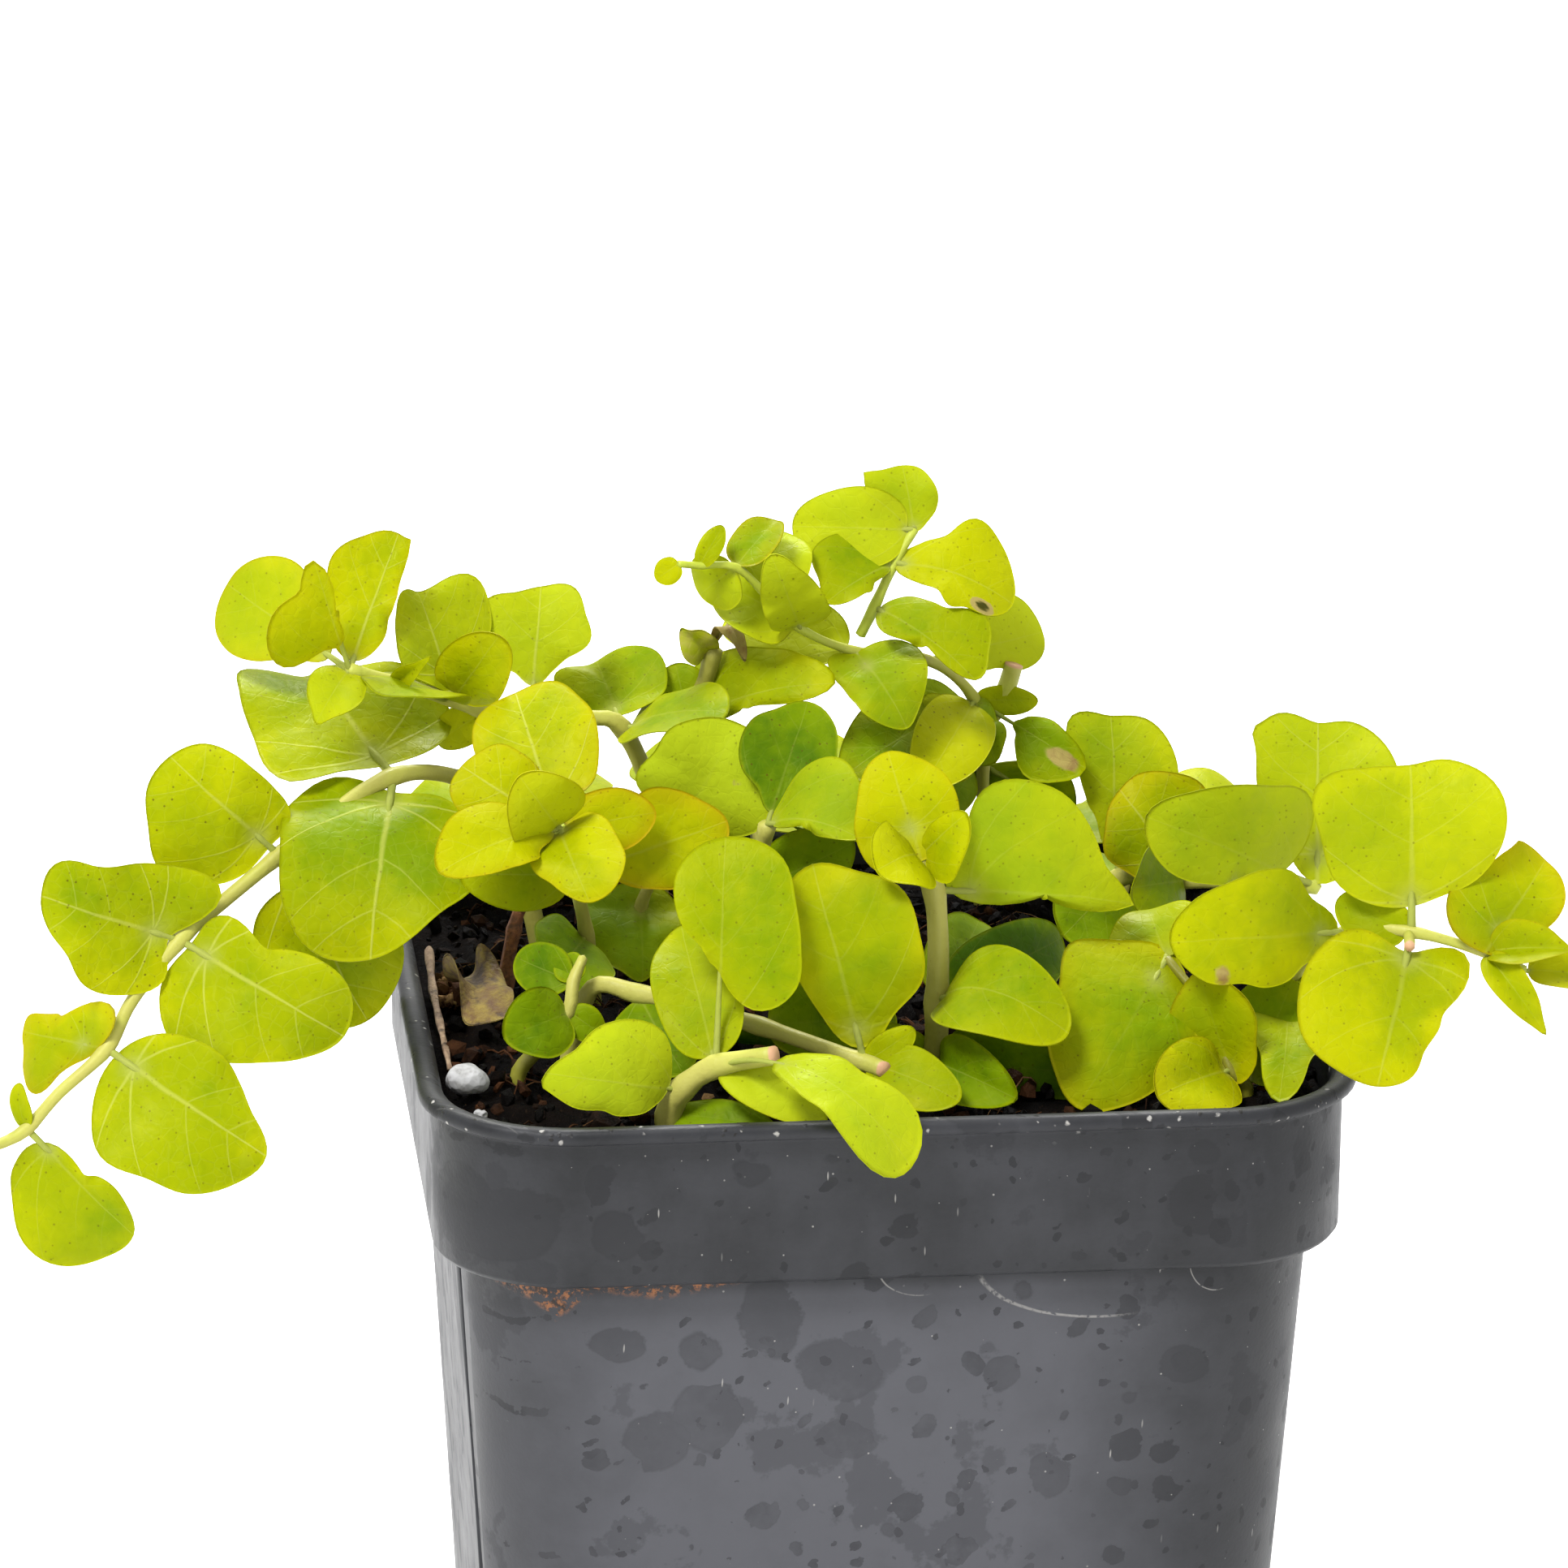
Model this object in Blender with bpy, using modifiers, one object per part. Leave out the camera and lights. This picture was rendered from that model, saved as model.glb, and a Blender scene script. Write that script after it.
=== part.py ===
"""Golden creeping jenny in a square nursery pot.

The plant is a mat of thin stems that root in the soil and spill over the rim. Each stem
carries round leaves in opposite pairs. The origin is the middle of the pot's base, +Z up.
Sizes are in millimetres and are turned into metres where a mesh is made.
"""

from math import cos, pi, radians, sin, sqrt

import bmesh
import bpy
from mathutils import Vector

MM = 0.001

# Pot
POT_HEIGHT = 86.0
RIM_HALF = 43.0
RIM_CORNER = 13.9
RIM_THICK = 1.5
COLLAR_HALF = 41.7
COLLAR_CORNER = 12.5
COLLAR_DROP = 15.5
BODY_TOP_HALF = 39.2
BODY_BASE_HALF = 35.2
BODY_CORNER = 12.0
WALL = 1.1
FLOOR_THICK = 1.6
CORNER_STEPS = 4
DRAIN_RADIUS = 4.0
DRAIN_OFFSET = 21.0
GROOVE_DEPTH = 0.5
GROOVE_WIDTH = 1.6
GROOVE_OFFSETS = (-27.0, 27.0)

# Soil
SOIL_EDGE = 4.0
SOIL_CROWN = 2.5
SOIL_LUMP = 0.6
GAP = 0.3

# Leaves and stems
LEAF_THICK = 0.7
STALK_HALF = 0.5
STEM_STEP = 6.5
PETIOLE = 0.08
ROOTED = 0.25

# Directions that a leaf's upper side can face
UP = (0, -0.15, 1)
FRONT = (-0.1, -0.95, 0.3)
HALF_UP = (0, -0.7, 0.7)
LEFT = (-0.6, -0.75, 0.3)
RIGHT = (0.6, -0.75, 0.3)
BACK_UP = (0, 0.5, 0.85)
WEST_UP = (-0.6, 0, 0.8)
EAST_UP = (0.6, 0, 0.8)

# Each stem: radius at the root and at the tip, then the points it grows through, from where
# it leaves the soil. A point is (x, y, height above the rim). A stem's first height is
# None where it starts on the soil.
STEMS = {
    "west_runner": (1.15, 0.6, [
        (-28.5, 12, None), (-30.5, 11, 7), (-34, 9, 14.5), (-37.5, 6, 18), (-43, 3, 19),
        (-49, 0, 16.5), (-54, -3, 13.5), (-59.5, -6, 10), (-63.5, -9, 7.5), (-68, -11, 2.5),
        (-70.5, -13, -1.5), (-75, -15, -5), (-78, -16, -8), (-80.5, -17, -9), (-82.5, -18, -9)]),
    "northwest_runner": (0.95, 0.6, [
        (-16.5, 18, None), (-17, 16, 10.5), (-20.5, 13, 20), (-24, 12, 21.5), (-29.5, 10, 22.5),
        (-34, 8.5, 23.5), (-37, 7.5, 25), (-42.5, 5, 27.5), (-47, 3, 29.5)]),
    "rosette_stem": (1.0, 0.8, [
        (-24.5, -2, None), (-25.5, -5, 5.5), (-27, -8, 12.5), (-28.5, -11, 18)]),
    "centre_stem": (0.9, 0.7, [
        (-18.5, 6, None), (-19.5, 5, 4.5), (-17.5, 3, 10), (-16.5, 3, 12.5)]),
    "inner_stem": (0.9, 0.7, [
        (-9.5, 1, None), (-9.5, -1, 8), (-8.5, -4, 15.5)]),
    "dry_stem": (0.9, 0.8, [
        (-11.5, 19, None), (-13, 17.5, 11.5), (-13.8, 16, 19.4), (-12.3, 15, 24.2), (-11.7, 15, 27.1)]),
    "back_runner": (1.0, 0.5, [
        (16, 25, None), (15.5, 22, 13), (14, 18, 20.5), (9, 15, 25.5), (1.5, 12, 27.5),
        (-4, 10, 30.5), (-7.5, 8, 34.5), (-10.5, 7, 37.5), (-14, 6, 38), (-16, 5, 38.5)]),
    "tall_shoot": (0.8, 0.6, [
        (2.1, 12.4, 28.9), (3.5, 13, 31.5), (5.5, 14, 35.5), (7.5, 15, 38.5)]),
    "upright_shoot": (1.15, 0.9, [
        (5, -24, None), (5, -24, 4.5), (5, -24, 10.5), (4.5, -24, 15.5), (3, -25, 19)]),
    "front_shoot": (1.1, 0.9, [
        (-20.5, -33, None), (-19.5, -34, 0.5), (-16.5, -35, 3), (-11.5, -38, 5)]),
    "middle_runner": (0.9, 0.8, [
        (-28, -16, None), (-26, -17, 4.5), (-22, -19, 4.5), (-18, -22, 4.5), (-11.5, -26, 3.5),
        (-6.5, -29, 2.5), (-2.5, -31, 1.5), (-1, -33, 1.5)]),
    "olive_stem": (0.9, 0.5, [
        (-33, -20, None), (-30.5, -20, 0.5), (-28.5, -20.5, 3.5), (-28, -19.5, 6), (-27, -18.5, 8)]),
    "east_runner": (1.0, 0.6, [
        (36.5, -16, None), (38.5, -20, 4.6), (43, -23, 10), (48.5, -26, 10.8), (55, -28, 9.3),
        (58.5, -29, 7.8)]),
    "northeast_runner": (0.9, 0.7, [
        (24, 14, None), (27.5, 12, 4), (33.5, 8, 5), (39, 5, 5.5), (45, 2, 6)]),
    "southeast_stem": (0.9, 0.7, [
        (33, -29, None), (31.5, -29, -1), (30, -26, 3.5), (26.5, -22, 7.5)]),
    "north_runner": (1.0, 0.6, [
        (-4, 30, None), (-5, 36, 3), (-5, 43, 4.5), (-3, 50, 1), (-2, 54, -7), (-3, 56, -17),
        (-5, 57, -26)]),
    "northwest_trailer": (1.0, 0.6, [
        (-22, 27, None), (-25, 34, 3), (-29, 42, 4.5), (-34, 49, 1), (-38, 53, -6), (-40, 55, -14)]),
    "northeast_trailer": (1.0, 0.6, [
        (30, 27, None), (33, 34, 1.5), (36.5, 41, 3), (40, 47, -1), (43, 51, -9), (45, 53, -17)]),
}


def leaf(name, stem, node, tip, width, face, arch=0.05, fold=0.1, lean=0.0, twist=0.0, stalk=PETIOLE,
         lobe=0.0):
    """One leaf. It grows from point number `node` of its stem to its tip (x, y, height above the
    rim), `width` across, upper side towards `face`. arch bows it upwards along its length, fold
    lifts both halves from the midrib (radians), lean makes the right half the wider one, twist
    turns the blade about its midrib from base to tip (radians), stalk is the petiole's share, and
    lobe draws the blade's foot back beside the petiole, as a share of the length."""
    return dict(name=name, stem=stem, node=node, tip=tip, width=width, face=face,
                arch=arch, fold=fold, lean=lean, twist=twist, stalk=stalk,
                lobe=lobe)


# The largest leaves, each a solid of its own
LEAVES = [
    leaf("west_leaf_1", "west_runner", 4, (-52, 16, 27), 21, (0, -0.35, 1), 0.05, 0.1),
    leaf("west_leaf_2", "west_runner", 4, (-46.2, -11.5, 5.5), 19, FRONT, 0.2, 0.12),
    leaf("west_leaf_3", "west_runner", 6, (-63.6, -3, 23), 14.5, FRONT, 0.08, 0.1),
    leaf("west_leaf_4", "west_runner", 6, (-46, -3.5, -3), 14, FRONT, 0.02, 0.1),
    leaf("west_leaf_5", "west_runner", 8, (-76, -12, 13), 15, FRONT, 0.05, 0.15, -0.1),
    leaf("west_leaf_6", "west_runner", 8, (-49.5, -16, 0.5), 15.5, FRONT, 0.12, 0.12, 0.1),
    leaf("west_leaf_7", "west_runner", 10, (-79, -7, -1.5), 9, FRONT, 0.02, 0.15, -0.45),
    leaf("west_leaf_8", "west_runner", 10, (-56, -20, -10), 16, FRONT, 0.1, 0.1, 0.15),
    leaf("west_leaf_9", "west_runner", 12, (-68.7, -17, -18), 12, LEFT, 0.02, 0.25, 0.3),
    leaf("northwest_leaf_1", "northwest_runner", 8, (-57.8, 15, 34.6), 11, FRONT, 0.0, 0.1, 0.1),
    leaf("northwest_leaf_2", "northwest_runner", 6, (-40.5, 12, 36), 11, RIGHT, 0.0, 0.2),
    leaf("northwest_leaf_3", "northwest_runner", 4, (-28, 15, 34.5), 11, FRONT, 0.0, 0.15),
    leaf("northwest_leaf_4", "northwest_runner", 2, (-22.8, 21.5, 25.5), 12, FRONT, 0.0, 0.1),
    leaf("rosette_leaf_1", "rosette_stem", 3, (-31.9, 3, 27.9), 12.5, FRONT, 0.05, 0.1),
    leaf("rosette_leaf_2", "rosette_stem", 3, (-38.3, -6, 23.4), 11, FRONT, 0.02, 0.1, 0.1),
    leaf("rosette_leaf_3", "rosette_stem", 2, (-11.5, -6, 17), 11, FRONT, 0.05, 0.1),
    leaf("centre_leaf_1", "centre_stem", 3, (-11.3, 2, 22.4), 15, FRONT, 0.08, 0.1),
    leaf("back_leaf_1", "back_runner", 4, (5.5, 6, 22.5), 11, HALF_UP, 0.1, 0.1),
    leaf("upright_leaf_1", "upright_shoot", 4, (0.3, -22, 28.4), 11, FRONT, 0.03, 0.15),
    leaf("upright_leaf_2", "upright_shoot", 3, (22.8, -23, 13.3), 13, (0, -0.85, 0.5), 0.08, 0.25, -0.6),
    leaf("front_leaf_1", "front_shoot", 2, (-15, -28, 22), 10.5, FRONT, 0.08, 0.1),
    leaf("front_leaf_2", "middle_runner", 6, (-7.1, -27, 19.6), 14, FRONT, 0.08, 0.1),
    leaf("east_leaf_1", "east_runner", 3, (48.6, -22, 26.2), 18, FRONT, 0.05, 0.1),
    leaf("east_leaf_2", "east_runner", 3, (42.5, -39.5, -2), 17, FRONT, 0.1, 0.1),
    leaf("east_leaf_3", "east_runner", 2, (25.6, -29, 11.5), 11.5, FRONT, 0.1, 0.1),
    leaf("east_leaf_4", "east_runner", 4, (62, -23, 17.2), 11, FRONT, 0.0, 0.1),
    leaf("northeast_leaf_1", "northeast_runner", 1, (27, 16, 19.5), 11.5, FRONT, 0.05, 0.1),
    leaf("northeast_leaf_2", "northeast_runner", 2, (26.8, 11, 14), 13, FRONT, 0.05, 0.1),
    leaf("northeast_leaf_3", "northeast_runner", 4, (28.5, -3, 14.7), 11.5, FRONT, 0.1, 0.1),
    leaf("northeast_leaf_4", "northeast_runner", 4, (45.5, 7, 22), 15, FRONT, 0.02, 0.1),
    leaf("southeast_leaf_1", "southeast_stem", 3, (17, -33, -2.2), 12.5, FRONT, 0.1, 0.0, 0.35),
]

# Smaller and hidden leaves, which stay one piece with the stem that they grow from
SMALL_LEAVES = [
    leaf("northwest_small_6", "northwest_runner", 8, (-50.5, -1, 41.5), 7, FRONT, 0.0, 0.3, -0.6),
    leaf("northwest_small_7", "northwest_runner", 8, (-42, 9, 41), 10, FRONT, 0.0, 0.2),
    leaf("rosette_small_4", "rosette_stem", 3, (-39.5, -17, 16.5), 9.5, HALF_UP, 0.1, 0.1),
    leaf("rosette_small_5", "rosette_stem", 3, (-26.5, -19, 13.5), 10, FRONT, 0.1, 0.1),
    leaf("dry_small_4", "dry_stem", 2, (-1, 7, 26), 9, HALF_UP, 0.1, 0.1),
    leaf("inner_small_2", "inner_stem", 2, (0.3, -11, 15.7), 9.5, HALF_UP, 0.18, 0.12),
    leaf("back_small_14", "back_runner", 2, (0.5, 8, 16.5), 10, HALF_UP, 0.05, 0.1),
    leaf("tall_small_5", "tall_shoot", 2, (17, 12, 31.5), 10, HALF_UP, 0.15, 0.1),
    leaf("upright_small_4", "upright_shoot", 1, (17, -33.5, 3), 10, HALF_UP, 0.3, 0.1),
    leaf("front_small_2", "front_shoot", 2, (-1.7, -48, -6.2), 8.5, FRONT, 0.25, 0.1, stalk=0.3),
    leaf("front_small_3", "front_shoot", 1, (-32.3, -37.5, 3.8), 9, FRONT, 0.1, 0.1, 0.2),
    leaf("southeast_small_2", "southeast_stem", 1, (28.6, -27.5, 7.7), 7, LEFT, 0.0, 0.2),
    leaf("west_small_1", "west_runner", 12, (-78.5, -15, -3.5), 3, LEFT),
    leaf("west_small_2", "west_runner", 14, (-87.5, -19, -5), 5, FRONT),
    leaf("west_small_3", "west_runner", 14, (-86.5, -16, -12), 5, FRONT),
    leaf("northwest_small_1", "northwest_runner", 8, (-50.5, -3, 27), 7, HALF_UP),
    leaf("northwest_small_2", "northwest_runner", 6, (-45, -2, 29), 9, UP),
    leaf("northwest_small_3", "northwest_runner", 6, (-33, 3, 32.5), 7, FRONT),
    leaf("northwest_small_4", "northwest_runner", 2, (-11.5, 5, 24), 10, (0, -0.4, 1)),
    leaf("northwest_small_5", "northwest_runner", 5, (-38.5, 10, 20), 4, FRONT),
    leaf("rosette_small_1", "rosette_stem", 3, (-32.5, -16, 24.5), 7, FRONT, 0.1, 0.2),
    leaf("rosette_small_2", "rosette_stem", 3, (-19.5, -10, 19), 6, FRONT),
    leaf("rosette_small_3", "rosette_stem", 2, (-36, -10, 10.5), 8, FRONT),
    leaf("centre_small_1", "centre_stem", 1, (-20, -2, 0), 11, HALF_UP),
    leaf("inner_small_1", "inner_stem", 2, (-3.7, 4.4, 25.2), 9, FRONT, 0.03),
    leaf("dry_small_1", "dry_stem", 2, (-15, 18, 24.9), 6, FRONT),
    leaf("dry_small_2", "dry_stem", 4, (-14.7, 14, 29.6), 3, LEFT, 0.2, 0.5),
    leaf("dry_small_3", "dry_stem", 4, (-9.3, 12.5, 27.2), 2, UP, 0.5, 0.4),
    leaf("back_small_1", "back_runner", 5, (-7.5, 4, 39.5), 8, FRONT, 0.1),
    leaf("back_small_2", "back_runner", 5, (-12, 13, 34.5), 8, HALF_UP),
    leaf("back_small_3", "back_runner", 4, (-10.3, 19.5, 28.8), 8, HALF_UP),
    leaf("back_small_4", "back_runner", 7, (-6, 11, 41), 5, LEFT, 0.0, 0.3),
    leaf("back_small_5", "back_runner", 7, (-13.5, 10, 34), 6, FRONT),
    leaf("back_small_6", "back_runner", 6, (-5, 14, 39), 7, FRONT),
    leaf("back_small_7", "back_runner", 2, (7.5, 10, 15), 10, FRONT),
    leaf("back_small_8", "back_runner", 2, (15.5, 12, 15.5), 7, FRONT),
    leaf("back_small_9", "back_runner", 2, (24.1, 11, 15.4), 6.5, FRONT),
    leaf("back_small_10", "back_runner", 3, (21.5, 22, 26), 8, FRONT, 0.0, 0.1, 0.0, 0.0, 0.3),
    leaf("back_small_11", "back_runner", 9, (-18.5, 5, 37.5), 3, FRONT),
    leaf("back_small_12", "back_runner", 8, (-11.5, 7, 41.5), 3, FRONT),
    leaf("back_small_13", "back_runner", 2, (20, 17, 20.5), 3, FRONT),
    leaf("tall_small_1", "tall_shoot", 3, (6.5, 17, 44.5), 8, FRONT, 0.0, 0.2),
    leaf("tall_small_2", "tall_shoot", 3, (-4, 17, 38.5), 8, FRONT, 0.1),
    leaf("tall_small_3", "tall_shoot", 2, (-1.6, 10, 33.1), 7.5, FRONT, 0.05),
    leaf("tall_small_4", "tall_shoot", 1, (12.5, 6, 26), 8.5, HALF_UP, 0.1),
    leaf("upright_small_1", "upright_shoot", 4, (-4, -31, 21), 7, UP, 0.1, stalk=0.3),
    leaf("upright_small_2", "upright_shoot", 4, (6.5, -29.5, 24.5), 6, LEFT, 0.0, 0.3, 0.5),
    leaf("upright_small_3", "upright_shoot", 1, (10.5, -13, 9), 7, FRONT),
    leaf("front_small_1", "front_shoot", 2, (-18.5, -23, 12.5), 8, FRONT),
    leaf("middle_small_1", "middle_runner", 6, (5.5, -36.5, -0.5), 6, HALF_UP),
    leaf("middle_small_2", "middle_runner", 6, (2, -31, 4.5), 3, FRONT),
    leaf("olive_small_1", "olive_stem", 2, (-33.5, -22.5, 1), 6, FRONT, 0.1),
    leaf("olive_small_2", "olive_stem", 2, (-25.5, -21.5, 1.5), 3.5, FRONT),
    leaf("olive_small_3", "olive_stem", 3, (-28.5, -17, 8), 3, FRONT),
    leaf("olive_small_4", "olive_stem", 3, (-33, -15, 7), 5, FRONT),
    leaf("east_small_1", "east_runner", 4, (60, -32, 12.3), 5, FRONT),
    leaf("east_small_2", "east_runner", 5, (64, -28, 7.3), 5, FRONT),
    leaf("east_small_3", "east_runner", 4, (58.5, -33, 3.8), 5, FRONT, 0.0, 0.2),
    leaf("east_small_4", "east_runner", 1, (35, -35, -2), 8, FRONT),
    leaf("northeast_small_1", "northeast_runner", 2, (27, 0, 7), 9, FRONT),
    leaf("northeast_small_2", "northeast_runner", 1, (20.5, 0, 2.5), 9, FRONT),
    leaf("southeast_small_1", "southeast_stem", 1, (22.2, -37, 3.6), 6.5, UP),
    leaf("north_small_1", "north_runner", 2, (8, 46, 6), 13, UP),
    leaf("north_small_2", "north_runner", 2, (-17, 43, 6), 13, UP),
    leaf("north_small_3", "north_runner", 4, (9, 60, -7), 14, BACK_UP),
    leaf("north_small_4", "north_runner", 4, (-13, 59, -12), 14, BACK_UP),
    leaf("north_small_5", "north_runner", 6, (1, 62, -35), 9, BACK_UP),
    leaf("northwest_trailer_small_1", "northwest_trailer", 2, (-20, 50, 4), 13, UP),
    leaf("northwest_trailer_small_2", "northwest_trailer", 2, (-40, 38, 2), 13, UP),
    leaf("northwest_trailer_small_3", "northwest_trailer", 4, (-28, 59.5, -11.5), 13, BACK_UP),
    leaf("northwest_trailer_small_4", "northwest_trailer", 4, (-50, 52, -8.5), 12.5, BACK_UP),
    leaf("northeast_trailer_small_1", "northeast_trailer", 2, (46.5, 40, 1), 11, UP),
    leaf("northeast_trailer_small_2", "northeast_trailer", 2, (28, 49, -1), 11, UP),
    leaf("northeast_trailer_small_3", "northeast_trailer", 4, (54, 46, -14), 12, BACK_UP),
    leaf("northeast_trailer_small_4", "northeast_trailer", 4, (34, 57, -15), 12, BACK_UP),
]

COLOURS = {
    "pot": (0.1, 0.105, 0.115),
    "soil": (0.02, 0.013, 0.009),
    "leaf": (0.45, 0.6, 0.03),
    "stem": (0.5, 0.48, 0.14),
    "perlite": (0.75, 0.75, 0.73),
    "dry": (0.2, 0.1, 0.04),
}


def clear_scene():
    for old in list(bpy.data.objects):
        bpy.data.objects.remove(old, do_unlink=True)


def new_collection(name):
    collection = bpy.data.collections.new(name)
    bpy.context.scene.collection.children.link(collection)
    return collection


def new_material(name, colour, roughness):
    material = bpy.data.materials.new(name)
    material.use_nodes = True
    shader = material.node_tree.nodes["Principled BSDF"]
    shader.inputs["Base Color"].default_value = (*colour, 1.0)
    shader.inputs["Roughness"].default_value = roughness
    shader.inputs["Metallic"].default_value = 0.0
    return material


def add_object(name, mesh, collection, material):
    obj = bpy.data.objects.new(name, mesh)
    collection.objects.link(obj)
    if material:
        mesh.materials.append(material)
    return obj


def hide_cutter(obj):
    obj.hide_render = True
    obj.display_type = "WIRE"
    return obj


def boolean(obj, other, operation):
    modifier = obj.modifiers.new(operation.title(), "BOOLEAN")
    modifier.operation = operation
    modifier.object = other
    modifier.solver = "EXACT"


def rounded_square(half, corner, height):
    """Points of a square with round corners, half its width, at a height."""
    points = []
    for quarter, (sx, sy) in enumerate(((1, 1), (-1, 1), (-1, -1), (1, -1))):
        for step in range(CORNER_STEPS + 1):
            angle = (quarter + step / CORNER_STEPS) * pi / 2
            x = sx * (half - corner) + corner * cos(angle)
            y = sy * (half - corner) + corner * sin(angle)
            points.append((x, y, height))
    return points


def loft(name, rings):
    """A closed mesh through rings of equally many points, with a flat cap on each end."""
    shape = bmesh.new()
    verts = [[shape.verts.new(Vector(p) * MM) for p in ring] for ring in rings]
    for lower, upper in zip(verts, verts[1:]):
        for i in range(len(lower)):
            j = (i + 1) % len(lower)
            shape.faces.new((lower[i], lower[j], upper[j], upper[i]))
    shape.faces.new(verts[0][::-1])
    shape.faces.new(verts[-1])
    bmesh.ops.recalc_face_normals(shape, faces=shape.faces)
    mesh = bpy.data.meshes.new(name)
    shape.to_mesh(mesh)
    shape.free()
    return mesh


def body_half(height):
    """Half the width of the tapering body at a height above the base."""
    share = height / (POT_HEIGHT - COLLAR_DROP)
    return BODY_BASE_HALF + (BODY_TOP_HALF - BODY_BASE_HALF) * share


def make_pot(collection, cutters, material):
    shoulder = POT_HEIGHT - COLLAR_DROP
    lip = POT_HEIGHT - RIM_THICK
    inner_corner = BODY_CORNER - WALL
    outside = [
        (BODY_BASE_HALF - 0.8, BODY_CORNER - 0.8, 0.0),
        (BODY_BASE_HALF, BODY_CORNER, 0.8),
        (BODY_TOP_HALF, BODY_CORNER, shoulder - 0.8),
        (COLLAR_HALF - 0.8, COLLAR_CORNER, shoulder - 0.2),
        (COLLAR_HALF, COLLAR_CORNER, shoulder + 0.8),
        (COLLAR_HALF, COLLAR_CORNER, lip),
        (RIM_HALF, RIM_CORNER, lip + 0.3),
        (RIM_HALF, RIM_CORNER, POT_HEIGHT - 0.4),
        (RIM_HALF - 0.5, RIM_CORNER - 0.5, POT_HEIGHT),
    ]
    inside = [
        (COLLAR_HALF - 0.4, COLLAR_CORNER, POT_HEIGHT),
        (COLLAR_HALF - WALL, COLLAR_CORNER - WALL, POT_HEIGHT - 0.8),
        (COLLAR_HALF - WALL, COLLAR_CORNER - WALL, shoulder + 0.2),
        (BODY_TOP_HALF - WALL, inner_corner, shoulder - 1.4),
        (body_half(FLOOR_THICK) - WALL, inner_corner, FLOOR_THICK),
    ]
    mesh = loft("pot", [rounded_square(*ring) for ring in outside + inside])
    pot = add_object("pot", mesh, collection, material)
    for i, (sx, sy) in enumerate(((1, 1), (-1, 1), (-1, -1), (1, -1))):
        bpy.ops.mesh.primitive_cylinder_add(
            vertices=12, radius=DRAIN_RADIUS * MM, depth=4 * FLOOR_THICK * MM,
            location=(sx * DRAIN_OFFSET * MM, sy * DRAIN_OFFSET * MM, 0))
        cutter = bpy.context.active_object
        move_to(cutter, f"drain_cutter_{i}", cutters)
        boolean(pot, cutter, "DIFFERENCE")
    for side in (-1, 1):
        for i, offset in enumerate(GROOVE_OFFSETS):
            groove_cutter(pot, cutters, side, i, offset)
    return pot


def groove_cutter(pot, cutters, side, number, offset):
    """A shallow upright groove in a side wall, which leans with the wall's draft."""
    low, high = 6.0, POT_HEIGHT - COLLAR_DROP - 3.0
    lean = (body_half(high) - body_half(low)) / (high - low)
    middle = (low + high) / 2
    centre = side * (body_half(middle) + 1.0 - GROOVE_DEPTH)
    bpy.ops.mesh.primitive_cube_add(size=MM, location=(centre * MM, offset * MM, middle * MM))
    cutter = bpy.context.active_object
    cutter.scale = (2.0, GROOVE_WIDTH, high - low)
    cutter.rotation_euler = (0, side * lean, 0)
    move_to(cutter, f"groove_cutter_{side + 1}_{number}", cutters)
    boolean(pot, cutter, "DIFFERENCE")


def move_to(obj, name, collection):
    """Rename a cutter and put it in its collection."""
    obj.name = name
    for old in list(obj.users_collection):
        old.objects.unlink(obj)
    collection.objects.link(obj)
    hide_cutter(obj)


def soil_height(x, y):
    """Height of the soil above the rim (negative): a low mound with a few soft lumps."""
    reach = COLLAR_HALF - WALL - GAP
    mound = max(0.0, 1 - (x / reach) ** 2) * max(0.0, 1 - (y / reach) ** 2)
    lumps = sin(0.33 * x + 1.0) * sin(0.29 * y + 0.6) * sqrt(mound)
    return -SOIL_EDGE + SOIL_CROWN * mound + SOIL_LUMP * lumps


def make_soil(collection, material):
    shoulder = POT_HEIGHT - COLLAR_DROP
    corner = BODY_CORNER - WALL - GAP
    top_half = COLLAR_HALF - WALL - GAP
    rings = [
        rounded_square(body_half(FLOOR_THICK) - WALL - GAP, corner, FLOOR_THICK + GAP),
        rounded_square(BODY_TOP_HALF - WALL - GAP, corner, shoulder - 1.3),
        rounded_square(top_half, COLLAR_CORNER - WALL - GAP, shoulder + 0.6),
    ]
    outline = rounded_square(top_half, COLLAR_CORNER - WALL - GAP, 0.0)
    for share in (1.0, 0.86, 0.68, 0.48, 0.28, 0.1):
        ring = [(x * share, y * share) for x, y, _ in outline]
        rings.append([(x, y, POT_HEIGHT + soil_height(x, y)) for x, y in ring])
    return add_object("soil", loft("soil", rings), collection, material)


def smooth_path(points, step):
    """Points a step apart on a Catmull-Rom curve, which passes through the points given."""
    ends = [points[0] * 2 - points[1], *points, points[-1] * 2 - points[-2]]
    path = []
    for a, b, c, d in zip(ends, ends[1:], ends[2:], ends[3:]):
        count = max(1, round((c - b).length / step))
        for k in range(count):
            t = k / count
            path.append(0.5 * (2 * b + (c - a) * t + (2 * a - 5 * b + 4 * c - d) * t**2
                               + (3 * b - a - 3 * c + d) * t**3))
    return [*path, points[-1]]


def stem_points(name):
    """A stem's points in millimetres above the pot's base."""
    radius, _, points = STEMS[name]
    placed = []
    for x, y, height in points:
        if height is None:
            height = soil_height(x, y) + GAP + 0.8 * radius
        placed.append(Vector((x, y, POT_HEIGHT + height)))
    return placed


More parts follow.
